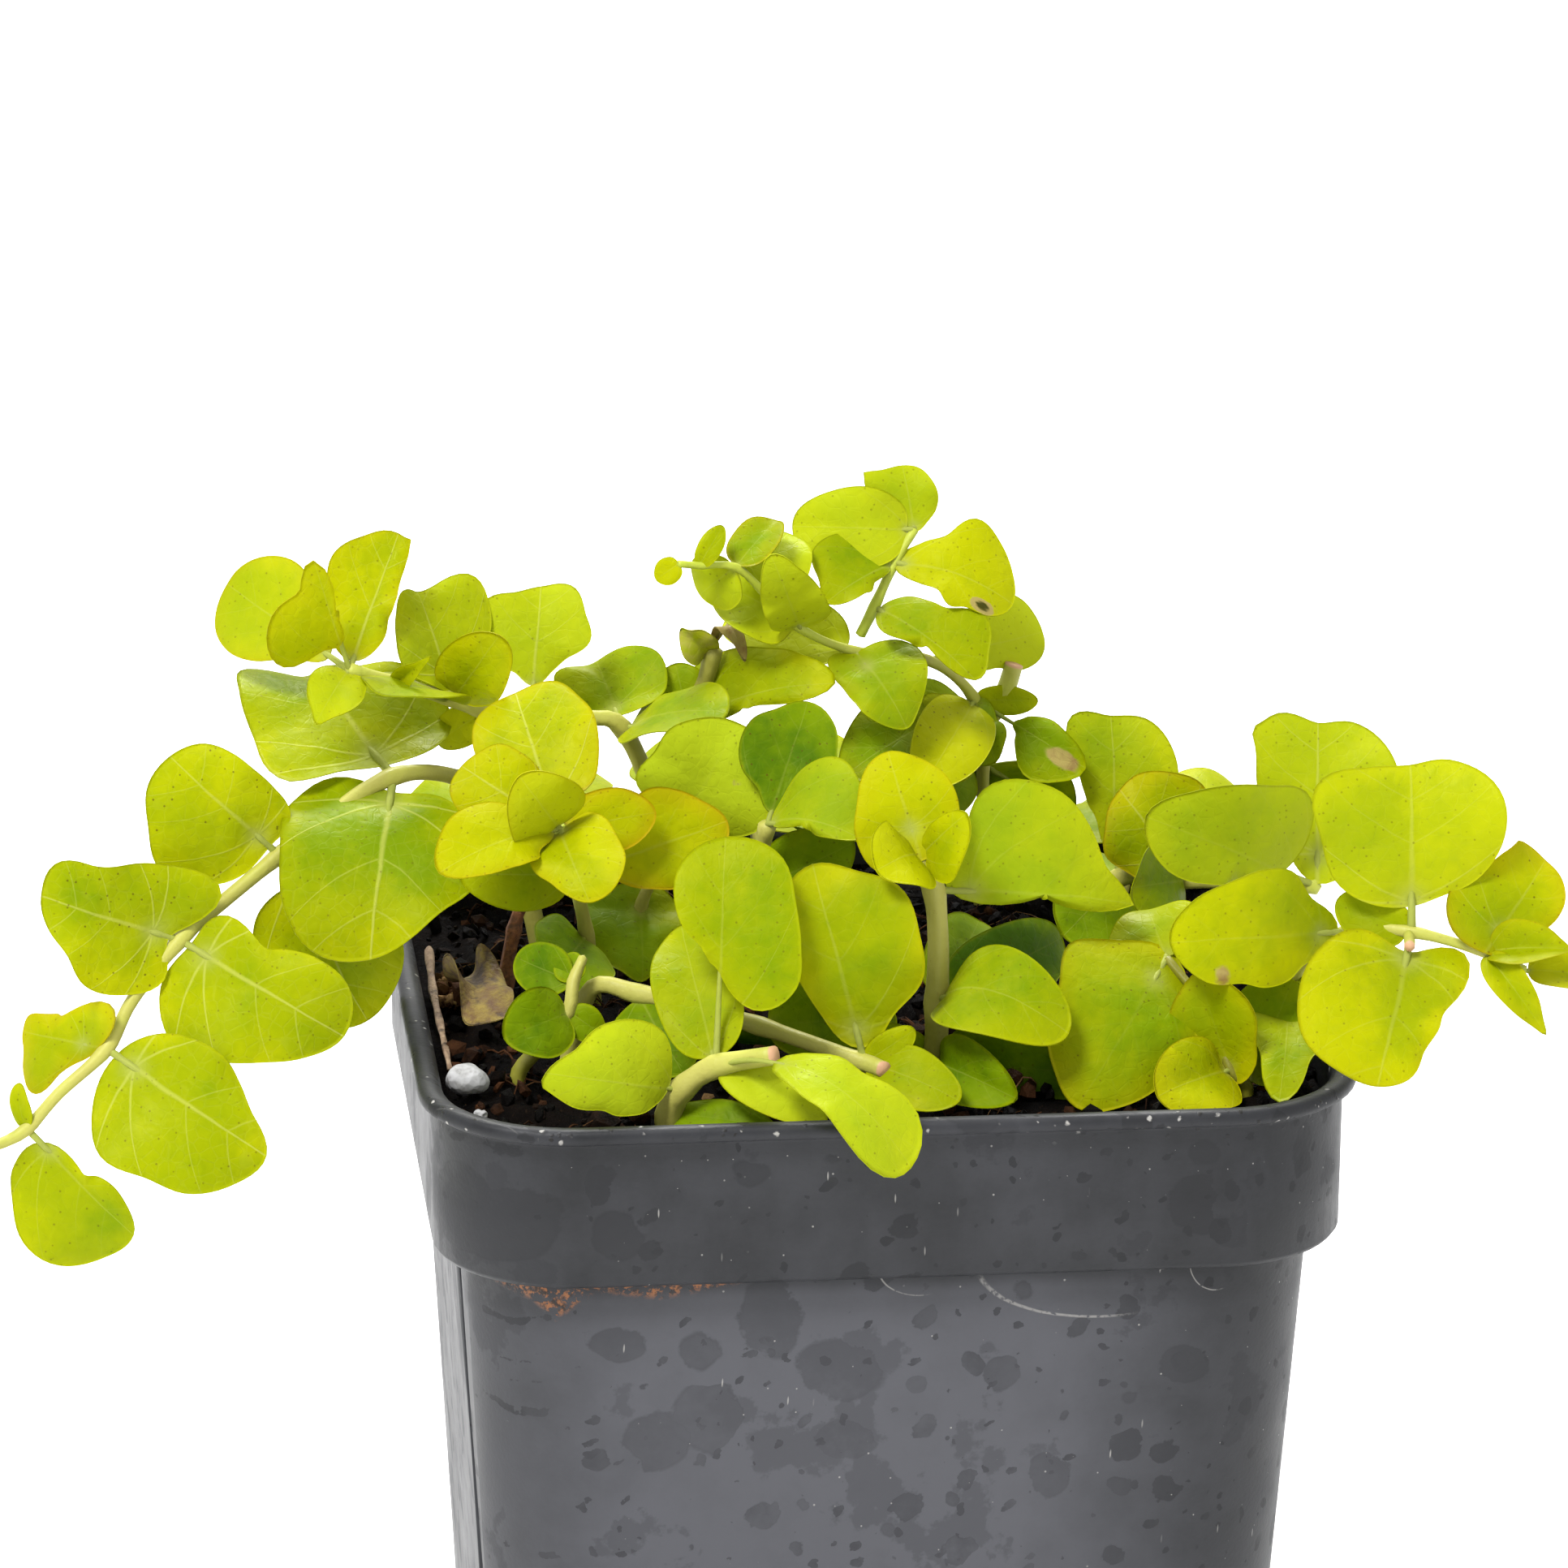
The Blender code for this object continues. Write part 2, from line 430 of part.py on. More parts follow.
def tube(name, path, radii, collection, material):
    """A closed tube along a path, made from a bevelled curve and then turned into a mesh."""
    curve = bpy.data.curves.new(name + "_curve", "CURVE")
    curve.dimensions = "3D"
    curve.bevel_depth = MM
    curve.bevel_resolution = 1
    curve.use_fill_caps = True
    spline = curve.splines.new("POLY")
    spline.points.add(len(path) - 1)
    for point, place, radius in zip(spline.points, path, radii):
        point.co = (*(place * MM), 1.0)
        point.radius = radius
    guide = bpy.data.objects.new(name + "_guide", curve)
    collection.objects.link(guide)
    graph = bpy.context.evaluated_depsgraph_get()
    mesh = bpy.data.meshes.new_from_object(guide.evaluated_get(graph))
    matrix = guide.matrix_world.copy()
    bpy.data.objects.remove(guide, do_unlink=True)
    shape = bmesh.new()
    shape.from_mesh(mesh)
    bmesh.ops.remove_doubles(shape, verts=shape.verts, dist=0.00001)
    bmesh.ops.recalc_face_normals(shape, faces=shape.faces)
    shape.to_mesh(mesh)
    shape.free()
    mesh.name = name
    mesh.materials.clear()
    obj = add_object(name, mesh, collection, material)
    obj.matrix_world = matrix
    return obj


def stem_tube(name, collection, material):
    first, last, _ = STEMS[name]
    path = smooth_path(stem_points(name), STEM_STEP)
    radii = [first + (last - first) * i / (len(path) - 1) for i in range(len(path))]
    return tube(name, path, radii, collection, material)


def blade_half(share):
    """Half the blade's width at a share of its length, as a part of the greatest half width."""
    skewed = share**0.85
    return max(0.0, 1 - abs(2 * skewed - 1) ** 2.2) ** 0.5


def leaf_frame(spec, clearance):
    """Base, length and the three directions of a leaf: along it, across it, out of its face."""
    stem = stem_points(spec["stem"])
    tip = Vector(spec["tip"]) + Vector((0, 0, POT_HEIGHT))
    along = (tip - stem[spec["node"]]).normalized()
    base = stem[spec["node"]] + along * clearance
    face = Vector(spec["face"])
    face = (face - along * face.dot(along)).normalized()
    return base, (tip - base).length, along, along.cross(face), face


def make_leaf(spec, rows, collection, material, clearance):
    """A leaf blade: a grid bent to shape, given its thickness by Solidify."""
    base, length, along, across, face = leaf_frame(spec, clearance)
    shape = bmesh.new()
    bmesh.ops.create_grid(shape, x_segments=2, y_segments=len(rows) - 1, size=1.0)
    stalk = spec["stalk"]
    half_width = spec["width"] / 2
    for vert in shape.verts:
        side = round(vert.co.x)
        row = rows[round((vert.co.y + 1) / 2 * (len(rows) - 1))]
        along_leaf = 0.0 if row == 0 else stalk + (1 - stalk) * row
        half = max(STALK_HALF, half_width * blade_half(row) * (1 + side * spec["lean"]))
        turn = spec["twist"] * (along_leaf - 0.5)
        lift = spec["arch"] * length * 4 * along_leaf * (1 - along_leaf)
        out = across * cos(turn) + face * sin(turn)
        raised = face * cos(turn) - across * sin(turn)
        reach = along_leaf - spec["lobe"] * abs(side) * (1 - row) ** 4
        place = base + along * (length * reach) + face * lift
        place += out * (side * half * cos(spec["fold"]))
        place += raised * (abs(side) * half * sin(spec["fold"]))
        vert.co = place * MM
    mesh = bpy.data.meshes.new(spec["name"])
    shape.to_mesh(mesh)
    shape.free()
    obj = add_object(spec["name"], mesh, collection, material)
    thicken = obj.modifiers.new("Thickness", "SOLIDIFY")
    thicken.thickness = LEAF_THICK * MM
    thicken.offset = 0.0
    return obj


LARGE_ROWS = (0, 0.06, 0.3, 0.6, 0.87, 1)
SMALL_ROWS = (0, 0.06, 0.4, 0.8, 1)
TINY_ROWS = (0, 0.35, 0.8, 1)
TINY_WIDTH = 6.0


def make_plant(collection, cutters, leaf_material, stem_material):
    stems = {name: stem_tube(name, collection, stem_material) for name in STEMS}
    for spec in SMALL_LEAVES:
        rows = TINY_ROWS if spec["width"] <= TINY_WIDTH else SMALL_ROWS
        small = make_leaf(spec, rows, cutters, None, -ROOTED)
        hide_cutter(small)
        boolean(stems[spec["stem"]], small, "UNION")
    for spec in LEAVES:
        clearance = STEMS[spec["stem"]][0] + LEAF_THICK / 2 + 2 * GAP
        make_leaf(spec, LARGE_ROWS, collection, leaf_material, clearance)


def make_lump(name, centre, radius, squash, collection, material):
    """A rough pebble: an icosphere whose points are pushed in and out by a fixed wave."""
    shape = bmesh.new()
    bmesh.ops.create_icosphere(shape, subdivisions=2, radius=radius)
    for vert in shape.verts:
        x, y, z = vert.co
        vert.co *= 1 + 0.12 * sin(5 * x + 2 * y) * cos(4 * z - 3 * y)
        vert.co.z *= squash
        vert.co = (vert.co + Vector(centre) + Vector((0, 0, POT_HEIGHT))) * MM
    mesh = bpy.data.meshes.new(name)
    shape.to_mesh(mesh)
    shape.free()
    return add_object(name, mesh, collection, material)


def loose_tube(name, points, radii, collection, material):
    path = [Vector((x, y, POT_HEIGHT + z)) for x, y, z in points]
    return tube(name, path, radii, collection, material)


def make_litter(collection, materials):
    """What lies on the soil: perlite, a dead twig, a straw and a withered leaf."""
    make_lump("perlite_1", (-38.3, -24, -1.6), 1.9, 0.85, collection, materials["perlite"])
    make_lump("perlite_2", (20, 33, -1.9), 1.6, 0.8, collection, materials["perlite"])
    loose_tube("dead_twig", [(-32.5, 2, -2.6), (-32.5, 2.5, -1), (-31.8, 3, 3), (-31, 3.5, 5.5),
                             (-29.5, 3, 6.8)], (0.6, 0.9, 0.6, 0.7, 0.5),
               collection, materials["dry"])
    loose_tube("straw", [(-39.4, 8, 0), (-39.5, 0, -1.5), (-39.3, -8, -2.6), (-39.2, -17, -2.9)],
               (0.45, 0.4, 0.35, 0.3), collection, materials["dry"])
    withered = leaf("withered_leaf", None, 0, (-33.5, -11.5, -1.8), 5.5, UP, 0.25, 0.5)
    start = Vector((-37.5, -5.5, POT_HEIGHT - 1.2))
    lie_leaf(withered, start, collection, materials["dry"])


def lie_leaf(spec, start, collection, material):
    """A fallen leaf, which lies between two points instead of growing from a stem."""
    STEMS["fallen"] = (0.5, 0.5, [(start.x, start.y, start.z - POT_HEIGHT), (0, 0, 0)])
    spec["stem"] = "fallen"
    make_leaf(spec, LARGE_ROWS, collection, material, 0.0)
    del STEMS["fallen"]


def main():
    clear_scene()
    parts = new_collection("creeping_jenny")
    cutters = new_collection("helpers")
    rough = {"pot": 0.45, "soil": 0.95, "leaf": 0.4, "stem": 0.5, "perlite": 0.9, "dry": 0.8}
    materials = {key: new_material(key, COLOURS[key], rough[key]) for key in COLOURS}
    make_pot(parts, cutters, materials["pot"])
    make_soil(parts, materials["soil"])
    make_litter(parts, materials)
    make_plant(parts, cutters, materials["leaf"], materials["stem"])


main()
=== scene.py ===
# %% [markdown]
# # Golden creeping jenny in its square nursery pot
#
# The plant is a mat of thin stems that root in the soil and spill over the rim of the pot.
# Each stem carries round leaves in opposite pairs. This script dresses the solid model with
# fine meshes and node materials, and sets up the camera, the light and a white floor.
#
# Lengths in the tables are millimetres, and a height is measured from the rim of the pot.

# %% Imports and units
from math import cos, pi, radians, sin

import bpy
import numpy as np
from mathutils import Matrix


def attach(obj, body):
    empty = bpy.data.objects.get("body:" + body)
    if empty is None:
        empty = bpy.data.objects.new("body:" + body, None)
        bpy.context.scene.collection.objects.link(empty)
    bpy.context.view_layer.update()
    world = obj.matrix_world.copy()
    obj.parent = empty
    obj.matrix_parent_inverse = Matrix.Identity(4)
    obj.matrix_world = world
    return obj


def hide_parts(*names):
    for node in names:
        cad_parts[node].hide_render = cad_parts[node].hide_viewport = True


MM = 0.001
POT_HEIGHT = 86.0
SEED = 7

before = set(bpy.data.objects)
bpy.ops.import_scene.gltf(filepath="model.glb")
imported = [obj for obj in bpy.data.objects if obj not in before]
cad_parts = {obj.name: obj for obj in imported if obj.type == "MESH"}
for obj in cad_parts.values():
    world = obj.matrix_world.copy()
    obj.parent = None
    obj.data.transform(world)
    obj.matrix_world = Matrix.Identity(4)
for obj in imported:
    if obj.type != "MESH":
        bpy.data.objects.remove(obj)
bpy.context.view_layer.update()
for default in ("Cube", "Light", "Camera"):
    if default in bpy.data.objects:
        bpy.data.objects.remove(bpy.data.objects[default], do_unlink=True)

# %% [markdown]
# ## Camera
#
# The camera looks down a little from the front left, through a long lens that keeps the sides
# of the pot nearly parallel. It could be aimed with a constraint. Here its three directions are
# worked out as arrays instead, because its place can then be given from the middle of the rim:
# a distance along the line of sight and two small shifts.

# %% Camera
PHOTO_SIDE = 1932
FOCAL_PIXELS = 9000.0
SENSOR_MM = 36.0
AZIMUTH = radians(-6.67)
ELEVATION = radians(17.67)
ROLL = radians(0.57)
DISTANCE = 691.6
SHIFT_RIGHT = -6.28
SHIFT_UP = 17.21
CLIP_START_M = 0.01


def upright_axes(back):
    """Right, up and back, as rows, of something upright that looks against `back`."""
    back = np.array(back, float)
    back /= np.linalg.norm(back)
    right = np.cross((0, 0, 1), back)
    right /= np.linalg.norm(right)
    return np.array([right, np.cross(back, right), back])


def place_object(name, data, axes, place_m):
    """Link a new object to the scene, turned along the axes, at a place in metres."""
    made = bpy.data.objects.new(name, data)
    turned = Matrix(axes.T.tolist()).to_4x4()
    turned.translation = place_m
    made.matrix_world = turned
    bpy.context.scene.collection.objects.link(made)
    return made


right, up, back = upright_axes((sin(AZIMUTH) * cos(ELEVATION), -cos(AZIMUTH) * cos(ELEVATION),
                                sin(ELEVATION)))
axes = np.array([right * cos(ROLL) + up * sin(ROLL), up * cos(ROLL) - right * sin(ROLL), back])
eye = axes[2] * DISTANCE + axes[0] * SHIFT_RIGHT + axes[1] * SHIFT_UP + (0, 0, POT_HEIGHT)
camera_data = bpy.data.cameras.new("photo_camera")
camera_data.sensor_width = SENSOR_MM
camera_data.lens = FOCAL_PIXELS * SENSOR_MM / PHOTO_SIDE
camera_data.clip_start = CLIP_START_M
bpy.context.scene.camera = place_object("photo_camera", camera_data, axes, (eye * MM).tolist())
print("camera at", np.round(eye, 1), "mm, lens", round(camera_data.lens, 1))

# %% [markdown]
# ## Meshes from arrays
#
# A leafy plant is hundreds of small shapes that differ only in their numbers. They could be
# modelled one by one, but it is quicker and more even to work each shape out as an array of
# points. A part of a piece is a dictionary of points, faces, a material number and values per
# point. `join_parts` puts parts together, and `add_piece` makes the object, which rides on the
# root.

# %% Mesh helpers
POINT_VALUES = ("rim", "tint", "warm", "dots", "veined", "fresh", "stalk", "dead",
                "age", "cut")
models = bpy.data.collections.new("models")
bpy.context.scene.collection.children.link(models)


def part_of(points, faces, uv=None, **values):
    """One part: points in millimetres above the floor, faces as lists, and point values."""
    return {"points": points, "faces": faces, "slot": 0, "uv": uv, "values": values}


def join_parts(parts):
    """Stack parts into one set of arrays. Values that a part leaves out are zero."""
    starts = np.cumsum([0] + [len(p["points"]) for p in parts[:-1]])
    points = np.concatenate([p["points"] for p in parts])
    faces = [[i + start for i in face] for p, start in zip(parts, starts.tolist())
             for face in p["faces"]]
    slots = np.concatenate([np.full(len(p["faces"]), p["slot"]) for p in parts])
    uv = np.concatenate([np.zeros((len(p["points"]), 2)) if p["uv"] is None else p["uv"]
                         for p in parts])
    used = {key for p in parts for key in p["values"]}
    values = {key: np.concatenate([np.broadcast_to(p["values"].get(key, 0.0), len(p["points"]))
                                   for p in parts]) for key in used}
    return points, faces, slots, uv, values


def add_piece(name, parts, looks, slot_name=None, node=None, smooth=True):
    """Make an object from parts, set its materials and its place in the frame."""
    points, faces, slots, uv, values = join_parts(parts)
    mesh = bpy.data.meshes.new(name)
    mesh.from_pydata((points * MM).tolist(), [], faces)
    for look in looks:
        mesh.materials.append(materials[look])
    mesh.polygons.foreach_set("material_index", slots.astype(np.int32))
    mesh.polygons.foreach_set("use_smooth", np.full(len(faces), smooth))
    corners = np.empty(len(mesh.loops), np.int32)
    mesh.loops.foreach_get("vertex_index", corners)
    layer = mesh.uv_layers.new(name="blade")
    layer.data.foreach_set("uv", uv[corners].ravel().astype(np.float32))
    for key in POINT_VALUES:
        if key in values:
            attribute = mesh.attributes.new(key, "FLOAT", "POINT")
            attribute.data.foreach_set("value", values[key].astype(np.float32))
    mesh.update()
    piece = bpy.data.objects.new(name, mesh)
    models.objects.link(piece)
    if slot_name:
        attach(piece, "root")
    if node:
        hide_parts(node)
    return piece


# %% Faces and closed shapes
def ring_faces(rings, spokes, flip=False):
    """Quads between neighbouring rings of points, each ring closed on itself."""
    ring, spoke = np.meshgrid(np.arange(rings - 1), np.arange(spokes), indexing="ij")
    here = ring * spokes + spoke
    beside = ring * spokes + (spoke + 1) % spokes
    quads = np.stack([here, beside, beside + spokes, here + spokes], -1).reshape(-1, 4)
    return (quads[:, ::-1] if flip else quads).tolist()


def fan_faces(centre, first, spokes, flip=False):
    """Triangles from a middle point to the ring that starts at `first`."""
    spoke = np.arange(spokes)
    fan = np.stack([np.full(spokes, centre), first + (spoke + 1) % spokes, first + spoke], -1)
    return (fan[:, ::-1] if flip else fan).tolist()


def closed_part(rings, first, last, **values):
    """A closed part through rings of points, with a fan to a middle point at each end."""
    spokes = len(rings[0])
    count = spokes * len(rings)
    faces = (ring_faces(len(rings), spokes) + fan_faces(count, 0, spokes)
             + fan_faces(count + 1, count - spokes, spokes, flip=True))
    return part_of(np.vstack([*rings, first, last]), faces, **values)


# %% [markdown]
# ## Paths and tubes
#
# Stems, petioles, twigs and straws are all thin, round and bent. A curve object with a bevel
# could make them, but it has no ridges and keeps no age or colour along its length. So a smooth
# path goes through a few chosen points, and a ring of points is carried along it.

# %% Path helpers
def smooth_path(points, step):
    """Points about a step apart on the Catmull-Rom curve through the points given.

    p(t) = (2b + (c - a) t + (2a - 5b + 4c - d) t^2 + (3b - a - 3c + d) t^3) / 2
    """
    points = np.asarray(points, float)
    ends = np.vstack([2 * points[0] - points[1], points, 2 * points[-1] - points[-2]])
    stretches = []
    for a, b, c, d in zip(ends, ends[1:], ends[2:], ends[3:]):
        count = max(1, round(np.linalg.norm(c - b) / step))
        t = (np.arange(count) / count)[:, None]
        stretches.append(0.5 * (2 * b + (c - a) * t + (2 * a - 5 * b + 4 * c - d) * t**2
                                + (3 * b - a - 3 * c + d) * t**3))
    return np.vstack([*stretches, points[-1:]])


def path_frames(path):
    """Two directions across the path at each of its points, carried along without twist."""
    tangent = np.gradient(path, axis=0)
    tangent /= np.linalg.norm(tangent, axis=1, keepdims=True)
    start = np.eye(3)[np.argmin(np.abs(tangent[0]))]
    side = np.cross(tangent[0], start)
    sides = []
    for direction in tangent:
        side = side - direction * np.dot(side, direction)
        side = side / np.linalg.norm(side)
        sides.append(side)
    sides = np.array(sides)
    return sides, np.cross(tangent, sides)


# %% Tubes
def tube_part(path, radii, sides, rough=0.0, ridges=3, spin=0.0, ends=(1.0, 1.0), **values):
    """A closed tube: rings round the path and a point at each end.

    radius(i, angle) = radii(i) (1 + rough cos(ridges angle + spin i)). The end points stand out
    of the last ring by `ends` radii, so 0 makes a flat cut.
    """
    path = np.asarray(path, float)
    radii = np.broadcast_to(radii, len(path)).astype(float)
    across, upright = path_frames(path)
    angle = 2 * pi * np.arange(sides) / sides
    wobble = 1 + rough * np.cos(ridges * angle[None] + spin * np.arange(len(path))[:, None])
    size = (radii[:, None] * wobble)[..., None]
    rings = path[:, None] + size * (np.cos(angle)[None, :, None] * across[:, None]
                                    + np.sin(angle)[None, :, None] * upright[:, None])
    tips = []
    for end, inner, stand in ((0, 1, ends[0]), (-1, -2, ends[1])):
        outwards = path[end] - path[inner]
        tips.append(path[end] + outwards / np.linalg.norm(outwards) * radii[end] * stand)
    spread = {key: np.concatenate([np.repeat(np.broadcast_to(value, len(path)), sides),
                                   np.broadcast_to(value, len(path))[[0, -1]]])
              for key, value in values.items()}
    return closed_part(rings, *tips, **spread)


# %% [markdown]
# ## Shader nodes
#
# A material is a small sum, such as one noise plus another, times a mask. Nodes and links made
# one by one would fill pages, while an expression stays readable. `Shader` makes nodes with one
# method, and `Value` is an output that understands arithmetic.

# %% Shader helpers
class Value:
    """An output of a node. Adding, multiplying and so on make Math nodes."""

    def __init__(self, shader, socket):
        self.shader = shader
        self.socket = socket

    def __add__(self, other):
        return self.shader.maths("ADD", self, other)

    def __sub__(self, other):
        return self.shader.maths("SUBTRACT", self, other)

    def __rsub__(self, other):
        return self.shader.maths("SUBTRACT", other, self)

    def __mul__(self, other):
        return self.shader.maths("MULTIPLY", self, other)

    def __abs__(self):
        return self.shader.maths("ABSOLUTE", self)

    __radd__ = __add__
    __rmul__ = __mul__


class Shader:
    """A material and the nodes that it is made of."""

    def __init__(self, name):
        self.material = bpy.data.materials.new(name)
        self.material.use_nodes = True
        self.tree = self.material.node_tree
        self.tree.nodes.clear()

    def node(self, kind, inputs=None, output=0, **settings):
        """Make a node, change its settings, set or link its inputs, and give one output."""
        made = self.tree.nodes.new("ShaderNode" + kind)
        for key, value in settings.items():
            setattr(made, key, value)
        for key, value in (inputs or {}).items():
            if isinstance(value, Value):
                self.tree.links.new(value.socket, made.inputs[key])
            else:
                made.inputs[key].default_value = value
        return Value(self, made.outputs[output]) if len(made.outputs) else None

    def maths(self, operation, a, b=0.0):
        """A Math node on one or two numbers."""
        return self.node("Math", {0: a, 1: b}, operation=operation)

    def highest(self, a, b):
        """The larger of two values."""
        return self.maths("MAXIMUM", a, b)

    def value(self, name):
        """A value that the mesh keeps per point."""
        return self.node("Attribute", output="Fac", attribute_name=name)

    def place(self):
        """Where the point is in the object, in metres."""
        return self.node("TexCoord", output="Object")

    def parts(self, vector):
        """The three parts of a vector or colour."""
        split = self.node("SeparateXYZ", {0: vector})
        return [Value(self, output) for output in split.socket.node.outputs]

    def vector(self, x, y):
        """A flat place from two values."""
        return self.node("CombineXYZ", {0: x, 1: y})

    def noise(self, scale, detail=3.0, roughness=0.5):
        """Cloudy noise from 0 to 1. The scale is waves per metre."""
        inputs = {"Vector": self.place(), "Scale": scale, "Detail": detail,
                  "Roughness": roughness}
        return self.node("TexNoise", inputs)

    def cells(self, scale, output="Distance", feature="F1", where=None):
        """Cells, `scale` of them to a metre. On a flat place `where` they are flat too."""
        inputs = {"Vector": where or self.place(), "Scale": scale}
        return self.node("TexVoronoi", inputs, output, feature=feature,
                         voronoi_dimensions="2D" if where else "3D")

    def step(self, value, low, high, start=0.0, end=1.0):
        """A smooth step: `start` where the value is low, `end` where it is high."""
        inputs = {"Value": value, "From Min": low, "From Max": high, "To Min": start,
                  "To Max": end}
        return self.node("MapRange", inputs, interpolation_type="SMOOTHSTEP")

    def fall(self, value, low, high):
        """A smooth step down, from 1 to 0."""
        return self.step(value, low, high, 1.0, 0.0)

    def mix(self, factor, a, b):
        """Mix two colours. A colour is a tuple of red, green and blue, or an output."""
        a, b = ((*colour, 1.0) if isinstance(colour, tuple) else colour for colour in (a, b))
        return self.node("Mix", {0: factor, 6: a, 7: b}, 2, data_type="RGBA")

    def bump(self, height, strength, distance):
        """The normal of a surface with fine relief. The distance is in metres."""
        return self.node("Bump", {"Height": height, "Strength": strength, "Distance": distance})

    def principled(self, colour, rough, normal=None, specular=0.5, **more):
        """The usual surface. Any other socket is set by its name."""
        inputs = {"Base Color": colour, "Roughness": rough, "Specular IOR Level": specular}
        if normal:
            inputs["Normal"] = normal
        return self.node("BsdfPrincipled", {**inputs, **more})

    def finish(self, surface):
        """Link the surface to the output and give the finished material."""
        self.node("OutputMaterial", {"Surface": surface})
        return self.material


# %% [markdown]
# ## Leaf material
#
# A golden leaf is thin: light from behind makes it glow, and its skin has a dull shine. Pictures of
# leaves could be laid over the blades, but a pattern of nodes stays sharp close up and differs from
# leaf to leaf. The blade's own coordinates place the veins: a midrib, side veins that curve towards the
# tip and a fine net between them. `rim` is the distance to the margin in millimetres, `tint` runs from
# yellow to deep green, `warm` is an orange margin, `dots` are the small dark glands, `veined` says how
# pale the veins are, a young green lifts a leaf, and `dead` is dead skin. The tint is partly the leaf's
# own colour and partly painted light and shade: it is a deeper green on a leaf that lies in shade. The
# young green lift is painted light, which brightens a leaf that gets too little light.

# %% Leaf material
# The deeper greens are partly painted shade. They go to leaves with a high tint, which lie low in the
# shade of others.
YELLOW = (0.44, 0.46, 0.0006)
YELLOW_GREEN = (0.31, 0.365, 0.0006)
GREEN = (0.19, 0.29, 0.001)
DEEP_GREEN = (0.065, 0.155, 0.002)
GLOW_YELLOW = (0.46, 0.49, 0.001)
GLOW_GREEN = (0.09, 0.18, 0.002)
# Painted light: a brighter young green that lifts leaves which get too little light.
PAINTED_LIFT_GREEN = (0.52, 0.64, 0.02)
VEIN = (0.58, 0.60, 0.12)
RIM_YELLOW = (0.46, 0.47, 0.003)
RIM_ORANGE = (0.50, 0.20, 0.004)
PETIOLE_COLOUR = (0.40, 0.44, 0.09)
DOT_COLOUR = (0.06, 0.03, 0.002)
DEAD_BROWN = (0.15, 0.065, 0.03)
DEAD_TAN = (0.29, 0.23, 0.07)
ROTTEN = (0.035, 0.035, 0.004)
# Of the lower veins: how steeply each starts and how much it curves
LOWER_VEINS = ((-0.10, 0.60), (0.45, 0.90))
SIDE_SLOPE = 0.62
SIDE_CURVE = 0.9
SIDE_FIRST = 0.11
SIDE_SPACING = 0.30
NET_SCALE = 850.0
GLAND_SCALE = 1350.0
SKIN_SHINE = 0.14
SKIN_TINT = (1.0, 1.0, 0.30, 1.0)
LIGHT_THROUGH = 0.40


# %% Veins and glands
def vein_pattern(shader):
    """How much of a vein there is at a point of the blade, from 0 to 1, and of the net."""
    wander = shader.noise(170.0, 2.0)
    across, along, _ = shader.parts(shader.node("UVMap", uv_map="blade"))
    x = abs(across - 0.5 + (wander - 0.5) * 0.035)
    y = along + (wander - 0.5) * 0.05
    bowed = x * x
    veins = shader.fall(x, 0.002, shader.step(y, 0.0, 1.0, 0.024, 0.007))
    for slope, curve in LOWER_VEINS:
        off = abs(y - x * slope - bowed * curve)
        vein = shader.fall(off, 0.001, shader.step(x, 0.0, 0.5, 0.017, 0.008))
        veins = shader.highest(veins, vein)
    start = y - x * SIDE_SLOPE - bowed * SIDE_CURVE
    repeat = shader.maths("PINGPONG", start - SIDE_FIRST, SIDE_SPACING / 2)
    side = shader.fall(repeat, 0.0, shader.step(x, 0.0, 0.5, 0.011, 0.006))
    side = side * shader.step(start, 0.20, 0.26) * shader.fall(start, 0.80, 0.86)
    veins = shader.highest(veins, side * 0.55)
    return veins, shader.fall(shader.cells(NET_SCALE, feature="DISTANCE_TO_EDGE"), 0.0, 0.08)


def gland_pattern(shader, rim, patches):
    """Small dark glands, one to a chosen cell, crowded in patches and towards the margin."""
    crowd = shader.step(patches + shader.step(rim, 0.0, 3.0, 0.15, 0.0), 0.36, 0.60, 0.55, 0.0)
    chosen = shader.parts(shader.cells(GLAND_SCALE, "Color"))[0]
    dot = shader.fall(shader.cells(GLAND_SCALE), 0.08, 0.21)
    return dot * shader.step(chosen, crowd, crowd + 0.25) * shader.value("dots")


